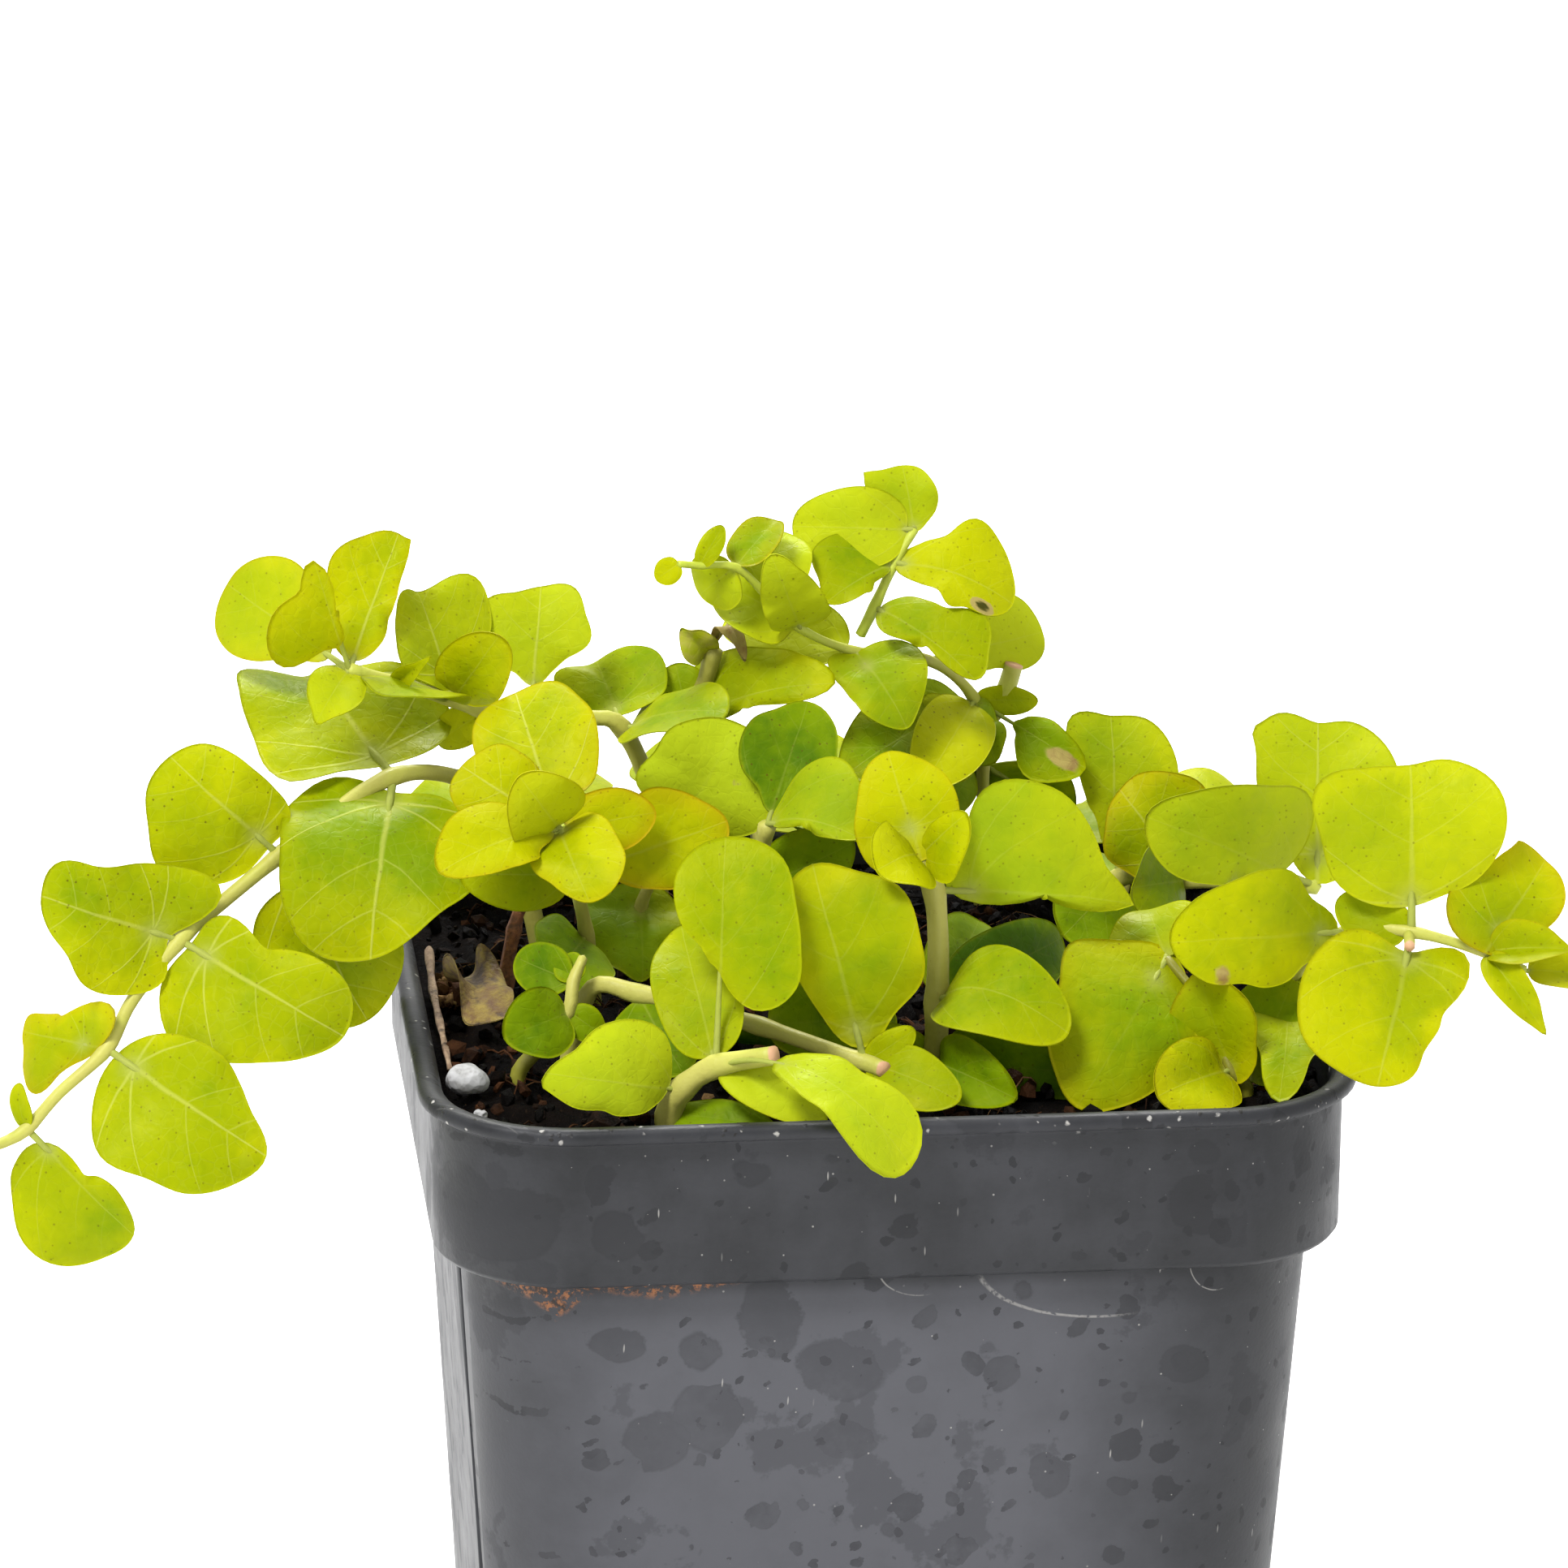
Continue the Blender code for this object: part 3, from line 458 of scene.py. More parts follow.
# %% Leaf skin and glow
def leaf_material():
    """Skin with light coming through it: yellower where the tint is low."""
    shader = Shader("leaf")
    veins, net = vein_pattern(shader)
    veined, fresh, warm = (shader.value(name) for name in ("veined", "fresh", "warm"))
    rim, died = shader.value("rim"), shader.value("dead")
    patches = shader.noise(120.0, 4.0, 0.6)
    broad = shader.noise(45.0, 2.0)
    fine = shader.noise(900.0, 3.0)
    dots = gland_pattern(shader, rim, patches)
    tint = shader.value("tint") + (patches - 0.5) * 1.4 + (broad - 0.5) * 1.3 + (fine - 0.5) * 0.3
    tint = tint - shader.step(rim, 0.0, 3.5, 0.18, 0.0)
    edge = shader.fall(rim + (fine - 0.5) * 0.3, 0.05, 0.40)
    blush = shader.fall(rim + (patches - 0.5) * 3.0, 0.0, 2.4)
    dead = shader.step(died + (fine - 0.5) * 0.5, 0.25, 0.6)
    withered = shader.mix(shader.step(patches + fine * 0.6, 0.55, 0.9), DEAD_BROWN, DEAD_TAN)
    withered = shader.mix(shader.step(died, 1.0, 1.5), withered, ROTTEN)
    # The tint layers are partly painted shade as well as each leaf's own colour. The brighter young
    # green mixed in after them is painted light.
    colour = YELLOW
    for share, layer in ((shader.step(tint, 0.0, 0.5), YELLOW_GREEN),
                         (shader.step(tint, 0.45, 1.0), GREEN),
                         (shader.step(tint, 0.95, 1.6), DEEP_GREEN),
                         (fresh, PAINTED_LIFT_GREEN),
                         (veins * veined * 0.55, VEIN),
                         (net * veined * 0.06, VEIN),
                         (dots * 0.8, DOT_COLOUR),
                         (edge * 0.25, RIM_YELLOW),
                         (blush * warm * 0.26, RIM_ORANGE),
                         (edge * warm * 0.4, RIM_ORANGE),
                         (shader.value("stalk"), PETIOLE_COLOUR),
                         (dead, withered)):
        colour = shader.mix(share, colour, layer)
    height = (veins * veined * -0.12 - net * 0.05 + shader.noise(420.0, 2.0) * 0.5
              + patches * 2.4 + broad * 1.5)
    gloss = shader.step(shader.noise(300.0, 3.0), 0.3, 0.7, 0.38, 0.56)
    skin = shader.principled(colour, gloss, shader.bump(height, 0.5, 0.0005), SKIN_SHINE,
                             **{"Specular Tint": SKIN_TINT})
    yellow_glow, green_glow = (shader.node("BsdfTranslucent", {"Color": (*glow, 1.0)})
                               for glow in (GLOW_YELLOW, GLOW_GREEN))
    green = shader.step(tint - fresh * 0.8, 0.0, 1.5)
    glow = shader.node("MixShader", {0: green, 1: yellow_glow, 2: green_glow})
    through = LIGHT_THROUGH - dead * 0.36 - dots * 0.25
    return shader.finish(shader.node("MixShader", {0: through, 1: skin, 2: glow}))


# %% [markdown]
# ## Stem material
#
# Young stems are fresh green. Older ones turn straw-coloured and then olive, with brown streaks
# along them. Each kind could have a material of its own, but a stem changes along its length, so
# one material reads an age that the mesh keeps per point.

# %% Stem material
STEM_FRESH = (0.35, 0.41, 0.03)
STEM_PALE = (0.36, 0.34, 0.07)
STEM_OLIVE = (0.16, 0.155, 0.010)
STEM_BROWN = (0.13, 0.06, 0.02)
CUT_COLOUR = (0.50, 0.29, 0.16)


def stem_material():
    """Fresh green at age 0, straw-coloured at 0.5, olive at 1, with long streaks."""
    shader = Shader("stem")
    age = shader.value("age") + (shader.noise(240.0, 4.0) - 0.5) * 0.5
    streaks = shader.noise(1500.0, 4.0, 0.65)
    colour = shader.mix(shader.step(age, 0.05, 0.5), STEM_FRESH, STEM_PALE)
    colour = shader.mix(shader.step(age, 0.6, 1.0), colour, STEM_OLIVE)
    colour = shader.mix(shader.step(streaks, 0.60, 0.80) * 0.35, colour, STEM_BROWN)
    colour = shader.mix(shader.step(shader.value("cut"), 0.6, 0.9), colour, CUT_COLOUR)
    bump = shader.bump(streaks + shader.noise(500.0, 2.0), 0.35, 0.0002)
    rough = shader.step(streaks, 0.2, 0.8, 0.42, 0.62)
    return shader.finish(shader.principled(colour, rough, bump, 0.3))


# %% [markdown]
# ## Soil and litter materials
#
# Potting soil is nearly black peat with paler grit, bark crumbs run from black to tan, and
# perlite is a white, porous stone. Their grain is finer than a mesh can show, so it comes from
# noise in a bump. Dead twigs, straw and leaves are all fibres with dark cracks, so they share
# one function and differ in two colours.

# %% Soil, crumb, perlite and dry materials
SOIL_BLACK = (0.0015, 0.0013, 0.0012)
SOIL_DARK = (0.006, 0.004, 0.003)
SOIL_GRIT = (0.035, 0.021, 0.012)
CRUMB_BLACK = (0.0028, 0.0023, 0.002)
CRUMB_RED = (0.055, 0.022, 0.009)
CRUMB_TAN = (0.28, 0.17, 0.075)
PERLITE_WHITE = (0.36, 0.36, 0.36)
PERLITE_STAIN = (0.17, 0.165, 0.155)
# The grey of a pore is painted shade in its hollow.
PERLITE_PORE_SHADE = (0.16, 0.15, 0.14)
CRACK = (0.03, 0.015, 0.008)
SOIL_SHINE = 0.03


def soil_material():
    """Two near blacks by the lumps, and grit where the fine noise is high."""
    shader = Shader("soil")
    lumps = shader.noise(260.0, 6.0, 0.65)
    grit = shader.noise(1500.0, 5.0, 0.7)
    colour = shader.mix(shader.step(lumps, 0.35, 0.7), SOIL_BLACK, SOIL_DARK)
    colour = shader.mix(shader.step(grit, 0.60, 0.72) * 0.6, colour, SOIL_GRIT)
    bump = shader.bump(lumps + grit * 0.6, 0.9, 0.0012)
    rough = shader.step(grit, 0.3, 0.7, 0.62, 0.95)
    return shader.finish(shader.principled(colour, rough, bump, SOIL_SHINE))


def crumb_material():
    """Bark crumbs and fibres: `tint` runs from near black to reddish brown to tan."""
    shader = Shader("crumb")
    tint = shader.value("tint") + (shader.noise(900.0, 4.0) - 0.5) * 0.35
    colour = shader.mix(shader.step(tint, 0.1, 0.6), CRUMB_BLACK, CRUMB_RED)
    colour = shader.mix(shader.step(tint, 0.6, 1.0), colour, CRUMB_TAN)
    bump = shader.bump(shader.noise(2200.0, 5.0, 0.7), 0.7, 0.0004)
    rough = shader.step(tint, 0.0, 1.0, 0.45, 0.85)
    return shader.finish(shader.principled(colour, rough, bump, SOIL_SHINE))


def perlite_material():
    """White with grey stains, and painted shade: grey in the hollow of a pore in the middle of each
    small cell.
    """
    shader = Shader("perlite")
    pores = shader.cells(1400.0)
    stain = shader.noise(500.0, 4.0, 0.6)
    colour = shader.mix(shader.step(stain, 0.45, 0.75), PERLITE_WHITE, PERLITE_STAIN)
    colour = shader.mix(shader.step(pores, 0.1, 0.3, 0.4, 0.0), colour, PERLITE_PORE_SHADE)
    bump = shader.bump(pores + stain, 0.4, 0.0003)
    return shader.finish(shader.principled(colour, shader.step(stain, 0.3, 0.7, 0.8, 0.98), bump))


def dry_material(name, pale, dark):
    """Dead plant matter with fibres along it and dark cracks."""
    shader = Shader(name)
    fibres = shader.noise(700.0, 6.0, 0.7)
    cracks = shader.noise(380.0, 5.0, 0.65)
    colour = shader.mix(shader.step(fibres, 0.30, 0.72), dark, pale)
    colour = shader.mix(shader.step(cracks, 0.34, 0.50, 0.85, 0.0), colour, CRACK)
    bump = shader.bump(fibres + cracks, 0.9, 0.0007)
    return shader.finish(shader.principled(colour, shader.step(fibres, 0.2, 0.8, 0.6, 0.9), bump))


# %% [markdown]
# ## Pot material
#
# Grey moulded plastic with dried water marks, fine grit stuck to it and short scratches. Its grey
# carries painted shade: it is darker on the collar and towards the sides, with a painted shadow just
# under the collar. Under the collar the front carries a few pale dried arcs and a line of brown debris.
# One noise for all of it would look like dirt. So each kind of mark is a mask of its own, worked out
# from the place on the pot, and keeps its real size and place.

# %% Pot material
# POT_PALE is the grey as lit on the middle of the body. POT_GREY is the same grey in painted shade on
# the collar and the sides. Random tone mixes the two as well.
POT_GREY = (0.009, 0.0095, 0.011)
POT_PALE = (0.058, 0.059, 0.067)
POT_STAIN = (0.003, 0.0032, 0.004)
GRIT = (0.30, 0.29, 0.27)
RUST = (0.22, 0.085, 0.03)
RUST_DARK = (0.02, 0.012, 0.008)
DIRT_DARK = (0.006, 0.005, 0.004)
POT_SHINE = 0.24
STREAKS = (330.0, 60.0)
SPECKS = 420.0
LIP_CRUMBS = 1100.0
COLLAR_FOOT = 70.0
FRONT_WALL_M = (-0.036, -0.033)
# Water marks in sizes: cells per metre, the share that has one, its radius and its strength
DRIED_DROPS = ((95.0, 0.6, 0.42, 0.30), (210.0, 0.6, 0.40, 0.40), (520.0, 0.4, 0.34, 0.50))
# Spots on the front wall: x and height of the middle, half width and half height
WET_MARKS = ((-11.6, 66.4, 3.0, 4.4), (-5.0, 61.0, 4.2, 3.4), (1.5, 58.9, 1.0, 0.9),
             (-4.6, 53.8, 2.8, 2.2), (-22.4, 54.0, 3.0, 3.0), (-25.5, 64.0, 2.6, 1.8),
             (14.0, 49.5, 1.9, 2.6), (9.5, 60.0, 1.5, 1.8), (26.0, 60.0, 2.4, 2.0))
ARC_SPOTS = ((18.5, 71.0, 11.7, 5.8), (1.8, 70.6, 3.8, 2.7), (29.0, 70.4, 2.6, 3.0))
# Debris under the collar: x of the middle, half width and depth
DEBRIS_PLACES = ((-31.2, 4.2, 3.6), (-33.0, 6.5, 1.9), (-22.0, 9.0, 1.5))


# %% Marks on the pot
def spotted(shader, where, scale, share, size):
    """Round marks in a share of the cells, each of its own size, and their outlines."""
    away = shader.cells(scale, where=where)
    pick, other, _ = shader.parts(shader.cells(scale, "Color", where=where))
    radius = shader.step(other, 0.0, 1.0, size * 0.35, size) * shader.step(pick, 1 - share, 1.0)
    gap = radius - away
    return shader.step(gap, 0.0, 0.04), shader.fall(abs(gap - 0.02), 0.0, 0.03)


def from_spot(x, z, spot, uneven, sway, rise):
    """Place in a spot, in half widths and half heights from its middle, and the distance."""
    spot_x, spot_z, wide, high = spot
    dx = (x - spot_x * MM) * (1 / (wide * MM)) + (uneven - 0.5) * sway
    dz = (z - spot_z * MM) * (1 / (high * MM)) + (uneven - 0.5) * rise
    return dx, dz, x.shader.maths("SQRT", dx * dx + dz * dz)


def water_marks(shader, x, z, around, broad, mottled, front):
    """Dried drops all over the pot and the larger marks on its front."""
    bent = shader.vector(around + mottled * 0.005, z + broad * 0.006 + mottled * 0.003)
    marks = shader.step(broad + mottled * 0.7, 0.93, 0.97) * 0.30
    for scale, share, size, strength in DRIED_DROPS:
        inside, outline = spotted(shader, bent, scale, share, size)
        inside = inside * strength * shader.step(mottled, 0.3, 0.6, 0.5, 1.4)
        marks = shader.highest(marks, inside + outline * 0.14)
    for spot in WET_MARKS:
        _, _, away = from_spot(x, z, spot, mottled, 2.0, 1.4)
        mark = shader.step(away, 0.90, 1.06, 0.34, 0.0) * shader.step(mottled, 0.3, 0.6, 0.6, 1.3)
        mark = (mark + shader.step(abs(away - 0.98), 0.02, 0.08, 0.12, 0.0)) * front
        marks = shader.highest(marks, mark)
    return marks


def debris_line(shader, x, z, front):
    """Where brown debris hangs under the collar."""
    debris = 0.0
    for spot_x, wide, deep in DEBRIS_PLACES:
        slope = 1.0 - abs(x - spot_x * MM) * (1 / (wide * MM))
        reach = COLLAR_FOOT * MM - slope * (deep * MM)
        here = shader.step(z - reach, -0.0004, 0.0006) * shader.step(slope, 0.0, 0.15)
        debris = shader.highest(here, debris)
    below = shader.fall(z, COLLAR_FOOT * MM + 0.0002, COLLAR_FOOT * MM + 0.0006)
    return debris * below * front * shader.step(shader.noise(1100.0, 4.0, 0.75), 0.47, 0.56)


def pale_arcs(shader, x, z, mottled, grain, front):
    """Thin dried arcs, each the lower left part of a ring."""
    arcs = 0.0
    for spot in ARC_SPOTS:
        dx, dz, away = from_spot(x, z, spot, mottled, 0.10, 0.0)
        arc = shader.fall(abs(away - 1.0), 0.008, 0.030) * shader.fall(dx, -0.1, 0.35)
        arcs = shader.highest(arc * shader.fall(dz, -0.35, 0.0), arcs)
    return arcs * front * shader.step(mottled, 0.36, 0.50) * shader.step(grain, 0.3, 0.5)


# %% Pot plastic
def pot_material():
    """Grey with painted shade on the collar, towards the sides and just under the collar, then layer on
    layer of marks, each mixed in where its own mask is high.
    """
    shader = Shader("pot")
    x, y, z = shader.parts(shader.place())
    around = x + y
    front = shader.fall(y, *FRONT_WALL_M)
    broad = shader.noise(38.0, 4.0, 0.6)
    mottled = shader.noise(150.0, 5.0, 0.65)
    grain = shader.noise(2600.0, 2.0)
    # Painted shade: the collar is darker than the body, the grey darkens towards both sides, and a dark
    # band just under the collar is the collar's painted shadow.
    painted_shade = shader.step(z, 0.068, 0.0705, 1.0, 0.24)
    painted_shade = painted_shade * shader.step(abs(x + 0.005), 0.014, 0.040, 1.0, 0.10) - shader.step(
        abs(z - 0.0685), 0.0005, 0.0030, 0.16, 0.0)
    colour = shader.mix(painted_shade + (broad - 0.5) * 0.6 + (mottled - 0.5) * 0.6, POT_GREY, POT_PALE)
    marks = water_marks(shader, x, z, around, broad, mottled, front)
    colour = shader.mix(marks * 0.8, colour, POT_STAIN)
    streaks = shader.vector(around * STREAKS[0], z * STREAKS[1])
    picked = shader.parts(shader.cells(1.0, "Color", where=streaks))[0]
    scratch = shader.fall(shader.cells(1.0, where=streaks), 0.012, 0.032)
    scratch = scratch * shader.step(picked, 0.70, 0.9)
    colour = shader.mix(scratch * 0.6, colour, GRIT)
    flat = shader.vector(around, z)
    picked, size, _ = shader.parts(shader.cells(SPECKS, "Color", where=flat))
    radius = shader.step(size, 0.2, 1.0, 0.006, 0.05) + (grain - 0.5) * 0.03
    speck = shader.step(radius - shader.cells(SPECKS, where=flat), 0.0, 0.02)
    speck = speck * shader.step(picked, shader.step(z, 0.066, 0.082, 0.66, 0.20), 0.85)
    colour = shader.mix(speck * 0.55, colour, GRIT)
    lip = shader.step(z + (broad - 0.5) * 0.006, 0.0825, 0.0855)
    picked, kind, _ = shader.parts(shader.cells(LIP_CRUMBS, "Color"))
    crumbs = shader.cells(LIP_CRUMBS) + (shader.noise(1900.0, 3.0) - 0.5) * 0.7
    dirt = shader.fall(crumbs, 0.12, 0.30) * lip * shader.step(picked, 0.62, 0.7)
    dirt_colour = shader.mix(shader.step(kind, 0.62, 0.66), DIRT_DARK, GRIT)
    colour = shader.mix(dirt * 0.9, colour, dirt_colour)
    debris = debris_line(shader, x, z, front)
    rust = shader.mix(shader.step(shader.noise(1500.0, 3.0), 0.45, 0.6), RUST, RUST_DARK)
    colour = shader.mix(debris * 0.95, colour, rust)
    colour = shader.mix(pale_arcs(shader, x, z, mottled, grain, front) * 0.5, colour, GRIT)
    height = grain * 0.25 + mottled * 0.4 + speck * 1.5 + debris * 2.0 + dirt * 1.5 - scratch * 0.6
    bump = shader.bump(height, 0.25, 0.0003)
    rough = shader.step(mottled + marks * 0.3, 0.3, 0.9, 0.44, 0.62)
    return shader.finish(shader.principled(colour, rough, bump, POT_SHINE))


# %% All materials
materials = {
    "leaf": leaf_material(),
    "stem": stem_material(),
    "soil": soil_material(),
    "crumb": crumb_material(),
    "perlite": perlite_material(),
    "twig": dry_material("twig", (0.34, 0.13, 0.05), (0.09, 0.032, 0.014)),
    "straw": dry_material("straw", (0.42, 0.30, 0.19), (0.20, 0.12, 0.07)),
    "withered": dry_material("withered", (0.27, 0.20, 0.035), (0.10, 0.045, 0.012)),
    "pot": pot_material(),
}
print("materials", sorted(materials))

# %% [markdown]
# ## Stems
#
# The stems rise from the soil, arch over it and hang over the rim of the pot. Rules of growth could
# make stems of this kind, but a few listed points follow the real ones. They are the same points as in
# the solid model. Each stem has its radius at the root and at the tip, its age at both ends (0 fresh,
# 0.5 straw-coloured, 1 olive), and the points it grows through. A height of None stands for the soil.

# %% Stem table
STEMS = {
    "west_runner": (0.92, 0.5, 0.5, 0.35, [
        (-28.5, 12, None), (-30.5, 11, 7), (-34, 9, 14.5), (-37.5, 6, 18), (-43, 3, 19),
        (-49, 0, 16.5), (-54, -3, 13.5), (-59.5, -6, 10), (-63.5, -9, 7.5), (-68, -11, 2.5),
        (-70.5, -13, -1.5), (-75, -15, -5), (-78, -16, -8), (-80.5, -17, -9),
        (-82.5, -18, -9)]),
    "northwest_runner": (0.95, 0.6, 0.5, 0.3, [
        (-16.5, 18, None), (-17, 16, 10.5), (-20.5, 13, 20), (-24, 12, 21.5), (-29.5, 10, 22.5),
        (-34, 8.5, 23.5), (-37, 7.5, 25), (-42.5, 5, 27.5), (-47, 3, 29.5)]),
    "rosette_stem": (0.65, 0.6, 0.9, 0.1, [
        (-24.5, -2, None), (-25.5, -5, 5.5), (-27, -8, 12.5), (-28.5, -11, 18)]),
    "centre_stem": (0.6, 0.5, 0.9, 0.3, [
        (-18.5, 6, None), (-19.5, 5, 4.5), (-17.5, 3, 10), (-16.5, 3, 12.5)]),
    "inner_stem": (0.9, 0.7, 0.9, 0.4, [
        (-9.5, 1, None), (-9.5, -1, 8), (-8.5, -4, 15.5)]),
    "dry_stem": (0.9, 0.8, 0.9, 0.8, [
        (-11.5, 19, None), (-13, 17.5, 11.5), (-13.8, 16, 19.4), (-12.3, 15, 24.2),
        (-11.7, 15, 27.1)]),
    "back_runner": (0.68, 0.3, 0.6, 0.1, [
        (16, 25, None), (15.5, 22, 13), (14, 18, 20.5), (9, 15, 25.5), (1.5, 12, 27.5),
        (-4, 10, 30.5), (-7.5, 8, 34.5), (-10.5, 7, 37.5), (-14, 6, 38), (-16, 5, 38.5)]),
    "east_stub": (0.5, 0.5, 0.3, 0.3, [
        (48.2, -26.0, 10.7), (48.0, -27.6, 10.4), (47.8, -28.6, 10.3)]),
    "back_stub": (1.0, 0.85, 0.3, 0.3, [
        (14.8, 19.3, 17.6), (16.2, 18.4, 19.4), (17.1, 18, 21.6), (17.8, 18, 24)]),
    "tall_shoot": (0.5, 0.36, 0.1, 0.1, [
        (2.1, 12.4, 28.9), (3.5, 13, 31.5), (5.5, 14, 35.5), (7.5, 15, 38.5)]),
    "upright_shoot": (1.1, 0.85, 0.95, 0.4, [
        (5, -24, None), (5, -24, 4.5), (5, -24, 10.5), (4.5, -24, 15.5), (3, -25, 19)]),
    "front_shoot": (1.1, 0.9, 0.6, 0.3, [
        (-20.5, -33, None), (-19.5, -34, 0.5), (-16.5, -35, 3), (-11.5, -38, 5)]),
    "middle_runner": (0.85, 0.75, 0.55, 0.45, [
        (-28, -16, None), (-26, -17, 4.5), (-22, -19, 4.5), (-18, -22, 4.5), (-11.5, -26, 3.5),
        (-6.5, -29, 2.5), (-2.5, -31, 1.5), (-1, -33, 1.5)]),
    "olive_stem": (0.8, 0.42, 1.0, 0.4, [
        (-33, -20, None), (-30.5, -20, 0.5), (-28.5, -20.5, 3.5), (-28, -19.5, 6),
        (-27, -18.5, 8)]),
    "east_runner": (0.75, 0.4, 0.5, 0.3, [
        (36.5, -16, None), (38.5, -20, 4.6), (43, -23, 10), (48.5, -26, 10.8), (55, -28, 9.3),
        (58.5, -29, 7.8)]),
    "northeast_runner": (0.9, 0.7, 0.6, 0.3, [
        (24, 14, None), (27.5, 12, 4), (33.5, 8, 5), (39, 5, 5.5), (45, 2, 6)]),
    "southeast_stem": (0.55, 0.35, 1.0, 1.0, [
        (33, -29, None), (31.5, -29, -1), (30, -26, 3.5), (26.5, -22, 7.5)]),
    "north_runner": (1.0, 0.6, 0.6, 0.3, [
        (-4, 30, None), (-5, 36, 3), (-5, 43, 4.5), (-3, 50, 1), (-2, 54, -7), (-3, 56, -17),
        (-5, 57, -26)]),
    "northwest_trailer": (1.0, 0.6, 0.6, 0.3, [
        (-22, 27, None), (-25, 34, 3), (-29, 42, 4.5), (-34, 49, 1), (-38, 53, -6),
        (-40, 55, -14)]),
    "northeast_trailer": (1.0, 0.6, 0.6, 0.3, [
        (30, 27, None), (33, 34, 1.5), (36.5, 41, 3), (40, 47, -1), (43, 51, -9),
        (45, 53, -17)]),
}
CUT_STEMS = ("front_shoot", "middle_runner", "back_stub", "east_stub")
STUBS = {"back_runner": "back_stub", "east_runner": "east_stub"}
STEM_STEP = 0.9
STEM_SIDES = 14
ROOT_DEPTH = 3.0
NODE_SWELL = 0.22
NODE_REACH = 1.4
print("stems", len(STEMS))

# %% Stem shape
# Pot and soil sizes, as in the solid model
COLLAR_HALF = 41.7
BODY_BASE_HALF = 35.2
BODY_TOP_HALF = 39.2
COLLAR_DROP = 15.5
WALL = 1.1
FLOOR_THICK = 1.6
SOIL_EDGE = 4.0
SOIL_CROWN = 2.5
SOIL_LUMP = 0.6
GAP = 0.3
LEAF_THICK = 0.7
ROOTED = 0.25


def soil_height(x, y):
    """Height of the soil above the rim: -edge + crown mound + lump sin sin sqrt(mound)."""
    reach = COLLAR_HALF - WALL - GAP
    mound = np.maximum(0.0, 1 - (x / reach) ** 2) * np.maximum(0.0, 1 - (y / reach) ** 2)
    lumps = np.sin(0.33 * x + 1.0) * np.sin(0.29 * y + 0.6) * np.sqrt(mound)
    return -SOIL_EDGE + SOIL_CROWN * mound + SOIL_LUMP * lumps


def stem_points(name):
    """A stem's points in millimetres above the floor."""
    radius = STEMS[name][0]
    placed = []
    for x, y, height in STEMS[name][4]:
        if height is None:
            height = float(soil_height(x, y)) + GAP + 0.8 * radius
        placed.append((x, y, POT_HEIGHT + height))
    return np.array(placed)


def stem_part(name, nodes):
    """A stem with a slight swelling where leaves grow, four soft ridges and worn colour."""
    first, last, age_root, age_tip, marked = STEMS[name]
    points = stem_points(name)
    places = points[nodes]
    if marked[0][2] is None:
        points = np.vstack([points[0] - (0, 0, ROOT_DEPTH), points])
    path = smooth_path(points, STEM_STEP)
    share = np.linspace(0, 1, len(path))
    radii = first + (last - first) * share
    if len(nodes):
        gaps = np.linalg.norm(path[:, None] - places[None], axis=2)
        radii = radii * (1 + NODE_SWELL * np.exp(-(gaps / NODE_REACH) ** 2).max(axis=1))
    cut = np.zeros(len(path))
    cut[-1] = name in CUT_STEMS
    return tube_part(path, radii, STEM_SIDES, rough=0.05, ridges=4,
                     ends=(0.3, 0.05 if name in CUT_STEMS else 0.6),
                     age=age_root + (age_tip - age_root) * share, cut=cut)


# %% [markdown]
# ## Leaves
#
# Creeping jenny has round leaves in opposite pairs, each on a short petiole. Copies of one leaf
# could be scattered along the stems, but no two real leaves turn or bend alike, so each one has
# a line of its own here.
#
# A leaf grows from a numbered point of its stem to its tip. Its width, the way its upper side
# faces, its bow, fold, lean, twist and the share of its petiole are those of the solid model.
# `lobe` draws the foot of the blade back beside the petiole, `cup` lifts the margin, `wave`
# ripples it and `point` draws out the apex. A `spot` is a dead patch: its place, its half width,
# half height and strength. A leaf with a name is a solid of its own; the others are fused to
# their stem.
#
# A `margin` is the outline of a leaf that faces the camera, read from the photo: twelve distances in
# millimetres from the middle of the blade to its edge. The first points to the apex and each next one a
# twelfth of a turn on, to the side that `across` points to.
# small pointed tip: its turn from the apex in degrees, its height and its breadth in degrees.

# %% Leaf table
UP = (0, -0.15, 1)
FRONT = (-0.1, -0.95, 0.3)
HALF_UP = (0, -0.7, 0.7)
LEFT = (-0.6, -0.75, 0.3)
RIGHT = (0.6, -0.75, 0.3)
BACK_UP = (0, 0.5, 0.85)
USUAL = {"name": None, "arch": 0.05, "fold": 0.16, "lean": 0.0, "twist": 0.0, "stalk": 0.08,
         "lobe": 0.04, "cup": -0.03, "wave": 0.03, "point": 0.0, "tint": 0.5, "warm": 0.0,
         "dots": 0.7, "veined": 0.3, "fresh": 0.0, "dead": 0.0, "spot": None, "margin": None,
         "beak": None}


def leaf(node, tip, width, face=FRONT, **changes):
    """One leaf: what differs from the usual one is given by name."""
    return {**USUAL, "node": node, "apex": tip, "width": width, "face": face, **changes}
